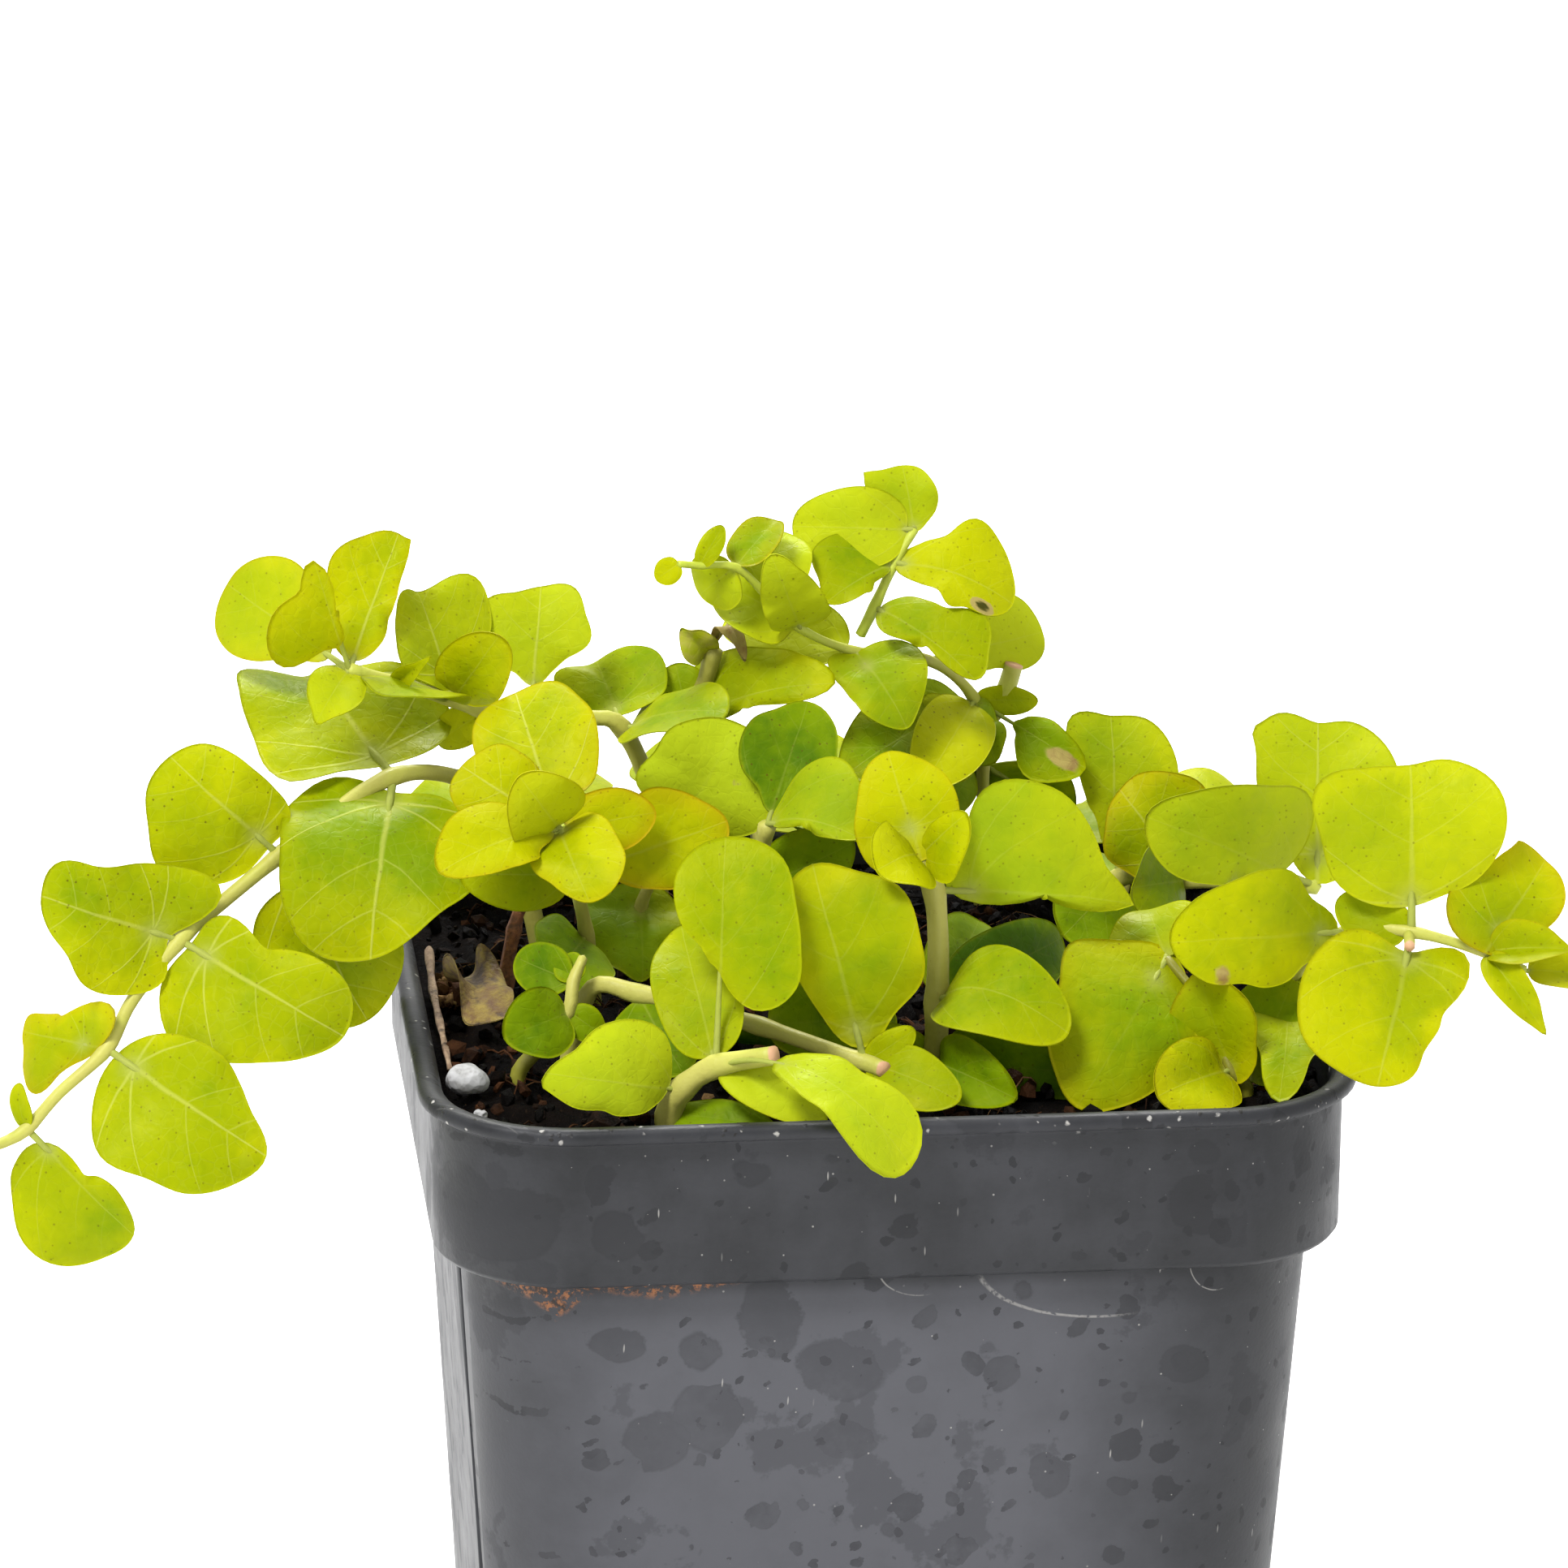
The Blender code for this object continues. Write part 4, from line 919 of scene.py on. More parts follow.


# Each leaf's tint is partly its own colour and partly painted light and shade: deeper green on leaves
# that lie in shade, and yellower on leaves that the light should brighten. The young green lift is
# painted light, for leaves that get too little light.
LEAVES = {}
LEAVES["west_runner"] = [
    leaf(4, (-52, 16, 27), 21, (0, -0.35, 1), name="west_leaf_1", lobe=0.12, veined=0.9, tint=0.7,
         margin=(5.6, 6.3, 6.2, 8.3, 11, 10.4, 8.3, 8.6, 11.9, 9.6, 9.4, 9.8)),
    leaf(4, (-46.2, -11.5, 5.5), 19, name="west_leaf_2", arch=0.13, fold=0.12, lobe=0.12, veined=0.9,
         tint=0.75, margin=(8.6, 10, 9.8, 9.5, 10.8, 11.6, 9.2, 10, 9.5, 9.3, 7.6, 7.7)),
    leaf(6, (-63.6, -3, 23), 14.5, name="west_leaf_3", arch=0.08, tint=0.55, dots=1.0, veined=0.6,
         margin=(6.4, 5.8, 4.9, 4.5, 5.1, 6.8, 6.4, 7.1, 8.0, 8.4, 7.2, 7.0)),
    leaf(6, (-46, -3.5, -3), 14, name="west_leaf_4", arch=0.02, veined=0.8),
    leaf(8, (-76, -12, 13), 15, name="west_leaf_5", fold=0.15, lean=-0.1, tint=0.6, dots=1.0, lobe=0.12,
         veined=0.8, margin=(6.1, 6.9, 5.0, 5.1, 7.2, 11.0, 6.7, 8.4, 7.6, 6.7, 5.1, 5.3)),
    leaf(8, (-49.5, -16, 0.5), 15.5, name="west_leaf_6", arch=0.12, fold=0.12, lean=0.1, veined=0.9,
         tint=0.65, margin=(8.3, 7.2, 6.8, 7.8, 9.9, 10, 8.4, 8.1, 4.1, 4.4, 5.9, 8.1)),
    leaf(10, (-79, -7, -1.5), 9, name="west_leaf_7", arch=0.02, fold=0.15, lean=-0.45, warm=0.5,
         tint=0.6, margin=(3.3, 3.2, 2.4, 2.3, 2.9, 8.0, 5.6, 3.7, 3.6, 5.4, 4.5, 3.3)),
    leaf(10, (-56, -20, -10), 16, name="west_leaf_8", arch=0.1, lean=0.15, veined=0.8, dots=0.8,
         tint=0.65, margin=(8.0, 8.0, 8.1, 7.8, 9.6, 9.5, 8.9, 7.7, 6.3, 5.6, 4.9, 5.5)),
    leaf(12, (-68.7, -17, -18), 12, LEFT, name="west_leaf_9", arch=0.02, fold=0.25, lean=0.3, dots=0.8,
         margin=(6.4, 7.4, 8.4, 8.0, 7.0, 6.9, 6.0, 2.2, 1.5, 1.7, 2.6, 3.9)),
    leaf(12, (-78.7, -15, -3.8), 2.2, LEFT),
    leaf(14, (-87.5, -19, -5), 5, warm=0.3),
    leaf(14, (-86.5, -16, -12), 5, warm=0.2),
    leaf(1, (-36, 19, 4), 9, BACK_UP, tint=0.9),
    leaf(1, (-22, 22, 5), 9, UP, tint=1.0)]
LEAVES["northwest_runner"] = [
    leaf(8, (-57.8, 15, 34.6), 11, name="northwest_leaf_1", arch=0.0, lean=0.1, warm=0.25, fresh=0.15,
         margin=(7.7, 7.2, 6.2, 5.0, 4.0, 3.8, 6.5, 4.0, 3.8, 4.6, 6.0, 7.5)),
    leaf(6, (-40.5, 12, 36), 11, RIGHT, name="northwest_leaf_2", arch=0.0, fold=0.2, veined=0.8,
         tint=0.7, fresh=0.15, margin=(3.7, 4.4, 7.5, 7.0, 6.0, 5.8, 6.4, 5.9, 6.0, 4.7, 4.1, 4.6)),
    leaf(4, (-28, 15, 34.5), 11, name="northwest_leaf_3", arch=0.0, fold=0.15, veined=0.8, tint=0.55,
         fresh=0.35, margin=(5.0, 6.0, 5.1, 5.1, 3.5, 3.5, 4.6, 4.0, 5.2, 5.3, 6.1, 4.8)),
    leaf(2, (-22.8, 21.5, 25.5), 12, name="northwest_leaf_4", arch=0.0, tint=0.9,
         margin=(3.2, 3.4, 4.7, 6.1, 6.4, 6.2, 4.6, 3.6, 3.4, 4.2, 4.9, 3.4)),
    leaf(8, (-50.5, -1, 41.5), 7, arch=0.0, fold=0.3, lean=-0.6, warm=0.25, tint=0.3,
         margin=(6.4, 1.4, 0.9, 0.8, 0.8, 1.2, 3.5, 3.9, 6.5, 6.7, 6.0, 4.5)),
    leaf(8, (-42, 9, 41), 10, arch=0.0, fold=0.2, veined=0.8, warm=0.2,
         margin=(7.0, 3.4, 2.3, 2.0, 2.2, 4.0, 5.8, 5.3, 4.4, 4.7, 5.9, 6.4), beak=(12, 1.5, 7)),
    leaf(8, (-50, -3, 27), 5.5, HALF_UP, tint=0.5, fresh=0.25, point=0.15),
    leaf(7, (-40.5, 1, 30.5), 2.5, tint=0.4, point=0.3, fold=0.6),
    leaf(6, (-45, -2, 29), 9, UP, tint=0.7),
    leaf(6, (-33, 3, 32.5), 7, warm=0.2),
    leaf(2, (-11.5, 5, 24), 10, (0, -0.4, 1), tint=0.7),
    leaf(5, (-38.5, 10, 20), 4),
    leaf(1, (-24, 26, 6), 9, BACK_UP, tint=0.9),
    leaf(1, (-8, 23, 7), 9, UP, tint=1.0)]
LEAVES["rosette_stem"] = [
    leaf(3, (-31.9, 3, 27.9), 12.5, name="rosette_leaf_1", tint=0.3, warm=0.35, veined=0.9,
         margin=(7.0, 7.5, 6.5, 6.5, 6.7, 7.3, 6.0, 4.5, 4.8, 5.2, 5.9, 6.4)),
    leaf(3, (-38.3, -6, 23.4), 11, name="rosette_leaf_2", arch=0.02, lean=0.1, tint=0.3, warm=0.3,
         veined=0.8, margin=(4.2, 4.0, 4.3, 4.1, 4.3, 4.5, 4.6, 4.7, 3.8, 3.8, 4.2, 4.5)),
    leaf(2, (-11.5, -6, 17), 11, name="rosette_leaf_3", tint=0.2, warm=0.8,
         margin=(6.4, 5.6, 5.0, 4.5, 4.4, 5.2, 6.0, 5.0, 4.8, 5.4, 5.2, 5.4)),
    leaf(3, (-39.5, -17, 16.5), 9.5, HALF_UP, arch=0.1, tint=0.2, warm=0.3,
         margin=(7.0, 6.3, 5.2, 4.4, 3.9, 4.6, 5.4, 3.3, 3.3, 3.1, 3.2, 4.6)),
    leaf(3, (-26.5, -19, 13.5), 10, arch=0.1, tint=0.25, warm=0.25,
         margin=(4.8, 3.7, 3.1, 3.7, 3.8, 4.1, 4.3, 5.5, 5.0, 4.7, 5.3, 5.6)),
    leaf(3, (-32.5, -16, 24.5), 8, arch=0.1, tint=0.0, fresh=0.2, warm=0.2),
    leaf(3, (-19.5, -10, 19), 6, tint=0.1, warm=0.9),
    leaf(2, (-37.5, -10, 13.5), 7, tint=0.6),
    leaf(1, (-29.5, -14, 4.5), 9, tint=1.0, dots=1.0)]
LEAVES["centre_stem"] = [
    leaf(3, (-11.3, 2, 22.4), 15, name="centre_leaf_1", arch=0.08, tint=0.45, fresh=0.75, veined=0.1,
         spot=(0.17, 0.62, 0.5, 0.4, 0.45),
         margin=(6.1, 6.7, 6.2, 6.9, 6.3, 5.5, 4.6, 5.2, 6.7, 5.6, 6.2, 6.1)),
    leaf(1, (-20, -2, 0), 11, HALF_UP, tint=1.0, veined=0.15,
         margin=(4.6, 4.2, 4.6, 5.3, 7.2, 6.5, 7.0, 6.0, 4.5, 3.2, 2.6, 3.1))]
LEAVES["inner_stem"] = [
    leaf(2, (0.3, -11, 15.7), 9.5, HALF_UP, arch=0.18, fold=0.12, tint=0.8, fresh=0.2,
         margin=(5.0, 2.5, 0.9, 0.8, 0.8, 1.2, 4.8, 5.8, 6.7, 7.2, 6.0, 5.0)),
    leaf(2, (-3.7, 4.4, 25.2), 9, arch=0.03, tint=1.3, dots=1.0, veined=0.2,
         margin=(6.9, 6.0, 4.8, 4.5, 4.2, 4.0, 5.3, 4.0, 4.5, 5.0, 5.3, 5.6)),
    leaf(1, (0, -2, 13), 7, tint=1.1, veined=0.2)]
LEAVES["dry_stem"] = [
    leaf(2, (-1, 7, 26), 9, HALF_UP, arch=0.1, tint=0.7,
         margin=(8.6, 2.8, 1.4, 1.4, 1.5, 2.5, 8.0, 9.5, 6.5, 5.3, 5.2, 6.4)),
    leaf(2, (-15, 18, 24.9), 6, tint=0.8),
    leaf(1, (-14, 29, 5), 9, BACK_UP, tint=0.9),
    leaf(1, (-2, 21, 7), 9, UP, tint=1.0),
    leaf(4, (-14.7, 14, 29.6), 4, LEFT, arch=0.2, fold=0.5, dead=0.40, wave=0.12),
    leaf(4, (-8.9, 12.5, 26.6), 3, UP, arch=0.7, fold=0.4, dead=0.9, wave=0.12)]
LEAVES["back_runner"] = [
    leaf(4, (5.5, 6, 22.5), 11, HALF_UP, name="back_leaf_1", arch=0.1, tint=0.95, fresh=0.1,
         margin=(4.4, 4.0, 3.8, 3.3, 3.9, 6.0, 4.9, 5.3, 5.8, 4.9, 4.1, 3.9)),
    leaf(5, (-7.5, 4, 39.5), 8, arch=0.1, dots=0.9, tint=0.2, fresh=0.5,
         margin=(5.8, 4.1, 3.2, 3.2, 3.9, 5.8, 5.6, 4.5, 3.0, 2.7, 2.9, 3.9)),
    leaf(5, (-12, 13, 34.5), 8, HALF_UP, fresh=0.3),
    leaf(4, (-10.3, 19.5, 28.8), 8, HALF_UP, tint=-0.2, fresh=0.4),
    leaf(7, (-6, 11, 41), 5, LEFT, arch=0.0, fold=0.3, tint=0.8, warm=0.3),
    leaf(7, (-13.5, 10, 34), 6, tint=0.35, fresh=0.3),
    leaf(6, (-5, 14, 39), 7, tint=0.5, fresh=0.4),
    leaf(2, (7.5, 10, 15), 10, tint=0.2, veined=0.2, fresh=0.4,
         margin=(5.0, 5.0, 4.5, 4.2, 4.6, 4.5, 4.6, 2.9, 2.5, 2.8, 4.6, 5.0)),
    leaf(2, (7.2, 6, 15.2), 7.5, tint=0.3, dots=1.0, arch=0.1),
    leaf(2, (15.5, 12, 15.5), 7, tint=0.9,
         margin=(3.4, 3.7, 3.5, 2.5, 2.0, 2.3, 4.6, 2.9, 1.7, 1.9, 2.2, 2.6)),
    leaf(2, (24.1, 11, 15.4), 6.5, tint=0.9, spot=(0.07, 0.80, 0.7, 1.5, 0.9),
         margin=(6.7, 5.6, 4.4, 2.2, 1.4, 1.3, 1.8, 1.5, 1.5, 1.8, 2.6, 3.9)),
    leaf(3, (21.5, 22, 26), 8, arch=0.0, stalk=0.3, tint=0.1, fresh=0.5,
         margin=(5.2, 4.7, 3.6, 2.7, 2.7, 4.0, 4.3, 4.0, 4.5, 5.0, 5.0, 5.2)),
    leaf(9, (-18.2, 5, 37.0), 2.6, tint=0.3),
    leaf(8, (-11.7, 7, 41.5), 2.4, tint=0.6),
    leaf(2, (20, 17, 20.5), 3),
    leaf(1, (-3, 12, 11), 10, tint=1.1, veined=0.1),
    leaf(2, (0.5, 8, 16.5), 10, HALF_UP, tint=0.8),
    leaf(1, (24, 30, 4), 10, BACK_UP, tint=0.8),
    leaf(1, (8, 31, 4), 10, BACK_UP, tint=0.9)]
LEAVES["tall_shoot"] = [
    leaf(3, (6.5, 17, 44.5), 8, arch=0.0, fold=0.2, tint=0.35, fresh=0.25,
         margin=(3.2, 3.1, 2.9, 2.9, 2.9, 2.9, 3.3, 2.6, 3.0, 3.4, 4.3, 3.5), beak=(-50, 0.9, 9)),
    leaf(3, (-4, 17, 38.5), 8, arch=0.1, tint=0.05, fresh=0.4),
    leaf(2, (-1.6, 10, 33.1), 7.5, HALF_UP, tint=0.8,
         margin=(4.2, 4.2, 5.4, 5.3, 4.9, 5.1, 3.9, 1.6, 1.3, 1.6, 1.8, 2.8)),
    leaf(1, (12.5, 6, 26), 8.5, HALF_UP, arch=0.1, tint=0.8,
         margin=(6.3, 1.7, 1.2, 1.2, 1.9, 4.2, 5.6, 5.1, 3.9, 3.6, 6.3, 6.3)),
    leaf(2, (17, 12, 31.5), 10, HALF_UP, arch=0.15, tint=0.15, spot=(0.21, 0.72, 0.5, 0.9, 1.5),
         margin=(6.0, 5.0, 3.3, 3.4, 2.8, 3.7, 6.1, 4.9, 4.3, 6.2, 6.0, 5.8))]
LEAVES["upright_shoot"] = [
    leaf(4, (0.3, -22, 28.4), 11, name="upright_leaf_1", arch=0.03, fold=0.15, tint=0.1, warm=0.25,
         dots=0.9, margin=(3.9, 3.6, 3.8, 4.6, 5.6, 6.7, 6.5, 7.5, 5.9, 4.2, 3.8, 3.9)),
    leaf(3, (22.8, -23, 13.3), 13, (0, -0.85, 0.5), name="upright_leaf_2", arch=0.08, fold=0.25,
         lean=-0.6, tint=0.7, veined=0.2, point=0.05, fresh=0.25,
         margin=(7.0, 0.8, 0.5, 0.5, 0.5, 0.7, 8.8, 8.9, 11.4, 10.0, 7.7, 6.4), beak=(0, 1.8, 9)),
    leaf(1, (16, -33.5, 4.3), 9.5, HALF_UP, arch=0.3, tint=0.65),
    leaf(4, (-1.5, -31, 20), 7.5, (0, -0.8, 0.6), arch=0.1, stalk=0.1, tint=0.1),
    leaf(4, (6.5, -29.5, 24.5), 6, LEFT, arch=0.0, fold=0.3, lean=0.5, tint=0.2),
    leaf(1, (10.5, -13, 9), 7, tint=1.1),
    leaf(0, (11, -35, -1), 7, (-0.5, -0.7, 0.5), arch=0.15, fold=0.5, tint=1.2),
    leaf(1, (18.5, -12, 6.5), 8, tint=1.6, veined=0.2),
    leaf(0, (12.5, -21, -2), 5, tint=1.7, veined=0.1),
    leaf(0, (-4, -22, 0), 6, tint=0.9, veined=0.1),
    leaf(0, (18.5, -30, -0.5), 9, tint=1.35, veined=0.1)]
LEAVES["front_shoot"] = [
    leaf(2, (-15, -28, 22), 10.5, name="front_leaf_1", arch=0.08, tint=0.85, veined=0.25,
         margin=(9.6, 9.6, 7.6, 7.3, 8.0, 6.9, 2.8, 2.0, 1.8, 2.3, 4.8, 8.1)),
    leaf(2, (-18.5, -23, 12.5), 8, tint=0.8),
    leaf(2, (0.4, -47.5, -3.6), 7, (0.3, -0.62, 0.72), arch=0.25, stalk=0.32, tint=0.55, fresh=0.4,
         margin=(7.4, 7.2, 4.6, 3.5, 3.6, 5.0, 7.8, 5.0, 3.5, 3.3, 4.4, 7.0)),
    leaf(0, (-11.5, -37.5, -2.2), 4, HALF_UP, tint=1.3, veined=0.1),
    leaf(2, (-7, -40, -0.7), 5, HALF_UP, tint=0.5, fresh=0.5, veined=0.1),
    leaf(1, (-32.3, -37.5, 3.8), 9, arch=0.1, lean=0.2, tint=0.6, fresh=0.5,
         margin=(6.5, 5.2, 5.6, 6.0, 6.1, 5.6, 5.2, 4.0, 3.2, 3.0, 3.1, 5.1), beak=(-9, 1.0, 7))]
LEAVES["middle_runner"] = [
    leaf(6, (-7.1, -27, 19.6), 14, name="front_leaf_2", arch=0.08, tint=0.55, warm=0.15, dots=0.2,
         margin=(8.3, 7.8, 8.5, 7.9, 8.2, 7.7, 9.0, 5.6, 4.3, 4.4, 5.3, 7.2)),
    leaf(6, (5.5, -36.5, -0.5), 6, HALF_UP, tint=0.7),
    leaf(6, (2, -31, 4.5), 3, tint=0.6),
    leaf(2, (-18.5, -26, -1), 8, tint=1.4),
    leaf(4, (-11, -18, -1), 8, tint=1.5),
    leaf(4, (2, -18, 1.5), 8, tint=1.2, veined=0.1)]
LEAVES["olive_stem"] = [
    leaf(2, (-34.5, -23, 2.0), 6.8, arch=0.2, tint=1.15, veined=0.1),
    leaf(2, (-25.5, -21.5, 1.5), 3.5, tint=1.0),
    leaf(3, (-28.5, -17, 8), 3, tint=0.9),
    leaf(3, (-33, -15, 7), 5, tint=1.1)]
LEAVES["east_runner"] = [
    leaf(3, (48.6, -22, 26.2), 18, name="east_leaf_1", tint=0.3, veined=0.45, lobe=0.1, fresh=0.15,
         margin=(6.6, 8.1, 9.1, 8.5, 7.4, 6.2, 6.4, 7.1, 8.1, 8.4, 10.2, 7.5)),
    leaf(3, (42.5, -39.5, -2), 17, name="east_leaf_2", arch=0.1, tint=0.35, veined=0.35, lobe=0.1,
         warm=0.15, margin=(6.2, 7.4, 8.8, 9.2, 9.6, 10.2, 8.3, 11.0, 5.2, 4.1, 3.9, 5.4)),
    leaf(3, (42, -22, 12.5), 5, tint=0.5, veined=0.1),
    leaf(2, (25.6, -29, 11.5), 11.5, name="east_leaf_3", arch=0.1, tint=0.4, veined=0.15,
         spot=(-0.31, 0.72, 1.2, 0.7, 0.6),
         margin=(8.5, 7.2, 6.1, 6.2, 6.9, 6.9, 9.2, 5.4, 4.9, 4.7, 4.8, 7.2)),
    leaf(4, (62, -23, 17.2), 11, name="east_leaf_4", arch=0.0, warm=0.5, tint=0.5, dots=1.0,
         margin=(4.2, 4.1, 3.9, 3.8, 4.0, 6.0, 7.0, 8.2, 7.0, 4.5, 4.3, 4.7), beak=(-38, 0.6, 8)),
    leaf(4, (61.5, -31, 10.5), 6, HALF_UP, warm=0.2, fold=0.7, tint=0.7, point=0.1),
    leaf(5, (65.5, -28, 6.5), 4.8, HALF_UP, warm=0.2, fold=0.5, point=0.2),
    leaf(4, (59, -33, 4.2), 4, arch=0.15, fold=0.5, warm=0.1, point=0.15),
    leaf(1, (35, -35, -2), 8, tint=0.9,
         margin=(8.5, 4.4, 3.6, 3.4, 3.5, 4.3, 10.6, 4.2, 3.6, 3.5, 3.7, 4.6))]
LEAVES["northeast_runner"] = [
    leaf(1, (27, 16, 19.5), 11.5, name="northeast_leaf_1", tint=0.6, veined=0.5, fresh=0.2,
         margin=(6.9, 7.3, 6.8, 6.1, 5.0, 5.0, 7.0, 3.8, 3.1, 3.1, 4.2, 8.0)),
    leaf(2, (26.8, 11, 14), 13, name="northeast_leaf_2", tint=0.5, warm=0.5, veined=0.7,
         margin=(4.2, 4.9, 5.5, 6.6, 6.5, 6.0, 6.5, 5.9, 5.0, 5.0, 4.1, 4.0)),
    leaf(4, (28.5, -3, 14.7), 11.5, name="northeast_leaf_3", arch=0.1, tint=0.65, veined=0.2, fresh=0.3,
         margin=(9.6, 7.8, 7.0, 7.2, 9.0, 8.1, 6.0, 4.0, 3.3, 3.1, 4.4, 7.8)),
    leaf(4, (45.5, 7, 22), 15, name="northeast_leaf_4", arch=0.02, tint=0.4, fresh=0.3, veined=0.8,
         margin=(6.4, 7.4, 7.9, 8.0, 8.0, 8.0, 9.0, 6.2, 5.0, 5.8, 6.6, 8.1), beak=(-48, 1.5, 8)),
    leaf(2, (27, 0, 7), 9, tint=0.9),
    leaf(1, (20.5, 0, 2.5), 9, tint=1.1),
    leaf(2, (38, 19, 3), 10, BACK_UP, tint=0.7),
    leaf(1, (18, 20, 2), 9, UP, tint=1.0)]
LEAVES["southeast_stem"] = [
    leaf(3, (17, -33, -2.2), 12.5, name="southeast_leaf_1", arch=0.1, fold=0.0, lean=0.35, tint=0.6,
         veined=0.1, warm=0.25, dots=0.9,
         margin=(8.5, 7.6, 7.2, 7.4, 9.7, 9.5, 10.5, 8.0, 7.0, 6.0, 6.2, 7.2)),
    leaf(1, (28.6, -27.5, 7.7), 7, LEFT, arch=0.0, fold=0.3, tint=0.5, warm=0.3, veined=0.1,
         margin=(5.2, 5.0, 5.0, 4.9, 4.5, 5.5, 5.8, 4.3, 4.6, 4.6, 4.4, 4.6)),
    leaf(1, (23.5, -36.5, -0.6), 8.5, (0.1, -0.75, 0.7), tint=0.35, warm=0.2, dots=0.9, fold=0.3),
    leaf(3, (25.5, -16, 10.6), 9, tint=0.8, veined=0.2),
    leaf(0, (38, -24, 6), 9, tint=1.2, veined=0.2)]
LEAVES["north_runner"] = [
    leaf(1, (-14, 37, 3), 10, UP, tint=0.8),
    leaf(1, (5, 35, 3), 10, UP, tint=0.7),
    leaf(2, (8, 46, 6), 13, UP),
    leaf(2, (-17, 43, 6), 13, UP, tint=0.6),
    leaf(4, (9, 60, -7), 14, BACK_UP, veined=0.8),
    leaf(4, (-13, 59, -12), 14, BACK_UP, tint=0.6, veined=0.8),
    leaf(6, (1, 62, -35), 9, BACK_UP, warm=0.4, tint=0.4)]
LEAVES["northwest_trailer"] = [
    leaf(1, (-35, 31, 3), 10, UP, tint=0.8),
    leaf(1, (-17, 36, 3), 9, UP, tint=0.9),
    leaf(2, (-20, 50, 4), 13, UP),
    leaf(2, (-40, 38, 2), 13, UP, tint=0.6),
    leaf(4, (-28, 59.5, -11.5), 13, BACK_UP, veined=0.8),
    leaf(4, (-50, 52, -8.5), 12.5, BACK_UP, veined=0.8)]
LEAVES["northeast_trailer"] = [
    leaf(1, (39, 28, 1), 9, UP, tint=0.8),
    leaf(1, (24, 37, 1), 9, UP, tint=0.7),
    leaf(2, (46.5, 40, 1), 11, UP),
    leaf(2, (28, 49, -1), 11, UP, tint=0.6),
    leaf(4, (54, 46, -14), 12, BACK_UP, veined=0.8),
    leaf(4, (34, 57, -15), 12, BACK_UP, veined=0.8)]
print("leaves", sum(len(group) for group in LEAVES.values()))

# %% [markdown]
# ### Shape of a leaf
#
# A blade is soft and thin, slightly domed, and folded along its midrib. A flat outline with a
# Solidify modifier would be as thick at its edge as in its middle. So the blade is a disc of
# rings round a middle point, in flat coordinates first: x across, as a part of the width, and y
# along the blade from foot to apex. `bend` lays flat points into space. The upper and the lower
# side meet in a thin margin, and the petiole runs on below the blade as the midrib.

# %% Leaf shape
BLADE_THICK = 0.34
MARGIN_THICK = 0.10
BLADE_MIDDLE = 0.45
FINE_WIDTH = 7
FINE_GRID = (11, 64)
PLAIN_GRID = (7, 40)
# The midrib: places along the blade, and its depth below it there and first in the stalk
MIDRIB_PLACES = (0.0, 0.08, 0.25, 0.45, 0.62)
MIDRIB_DEPTHS = (0.0, 0.15, 0.30, 0.26, 0.21, 0.18)


def wrapped(angle):
    """The same angle between -pi and pi."""
    return (angle + pi) % (2 * pi) - pi


def leaf_frame(spec, stem, own_node):
    """Node, foot, length and the directions along, across and out of the face of a leaf."""
    node = stem_points(stem)[spec["node"]]
    apex = np.array(spec["apex"], float) + (0, 0, POT_HEIGHT)
    along = (apex - node) / np.linalg.norm(apex - node)
    clearance = STEMS[stem][0] + LEAF_THICK / 2 + 2 * GAP if own_node else -ROOTED
    foot = node + along * clearance
    face = np.array(spec["face"], float)
    face -= along * np.dot(face, along)
    face /= np.linalg.norm(face)
    return node, foot, np.linalg.norm(apex - foot), along, np.cross(along, face), face


def bend(spec, place, x, y, rise=0.0):
    """Put flat points in space. x is a part of the width and y of the blade's length.

    lift = arch L 4t(1 - t) + fold |x| + rise, turned about the midrib by twist (t - 1/2)
    """
    _, foot, length, along, across, face = place
    t = spec["stalk"] + (1 - spec["stalk"]) * y
    turn = (spec["twist"] * (t - 0.5))[..., None]
    out = across * np.cos(turn) + face * np.sin(turn)
    raised = face * np.cos(turn) - across * np.sin(turn)
    wide = x * spec["width"]
    soft = 0.05 * spec["width"]
    folded = np.sqrt(wide**2 + soft**2) - soft
    lift = folded * sin(spec["fold"]) + rise
    bow = spec["arch"] * length * 4 * t * (1 - t)
    return (foot + along * (length * t)[..., None] + out * (wide * cos(spec["fold"]))[..., None]
            + raised * lift[..., None] + face * bow[..., None])


# %% Outline of a leaf
def usual_margin(spec, phi):
    """x = sin(phi) (1 + lean side) / 2,  y = ((1 + cos) / 2)^1.18 - lobe |sin| ((1 - cos) / 2)^3"""
    side, back = np.sin(phi), (1 - np.cos(phi)) / 2
    edge_x = 0.5 * side * (1 + spec["lean"] * np.sign(side))
    edge_y = (1 - back) ** 1.18 - spec["lobe"] * np.abs(side) * back**3
    return edge_x, edge_y + spec["point"] * np.exp(-(wrapped(phi) / 0.3) ** 2)


def read_margin(spec, length, phi):
    """Through the twelve distances r, smoothed: x = r sin(phi), y = middle + r cos(phi)."""
    known = np.array(spec["margin"], float)
    place = phi / (2 * pi) * len(known)
    before = np.floor(place).astype(int)
    share = place - before
    r0, r1, r2, r3 = (known[(before + step) % len(known)] for step in (-1, 0, 1, 2))
    radius = r1 + 0.5 * share * (r2 - r0 + share * (2 * r0 - 5 * r1 + 4 * r2 - r3
                                                    + share * (3 * (r1 - r2) + r3 - r0)))
    radius = np.maximum(radius, 0.4)
    if spec["beak"]:
        turn, height, breadth = spec["beak"]
        off = wrapped(phi - radians(turn))
        radius = radius + height * np.exp(-np.abs(off) / radians(breadth))
    return radius * np.sin(phi) / spec["width"], BLADE_MIDDLE + radius * np.cos(phi) / length


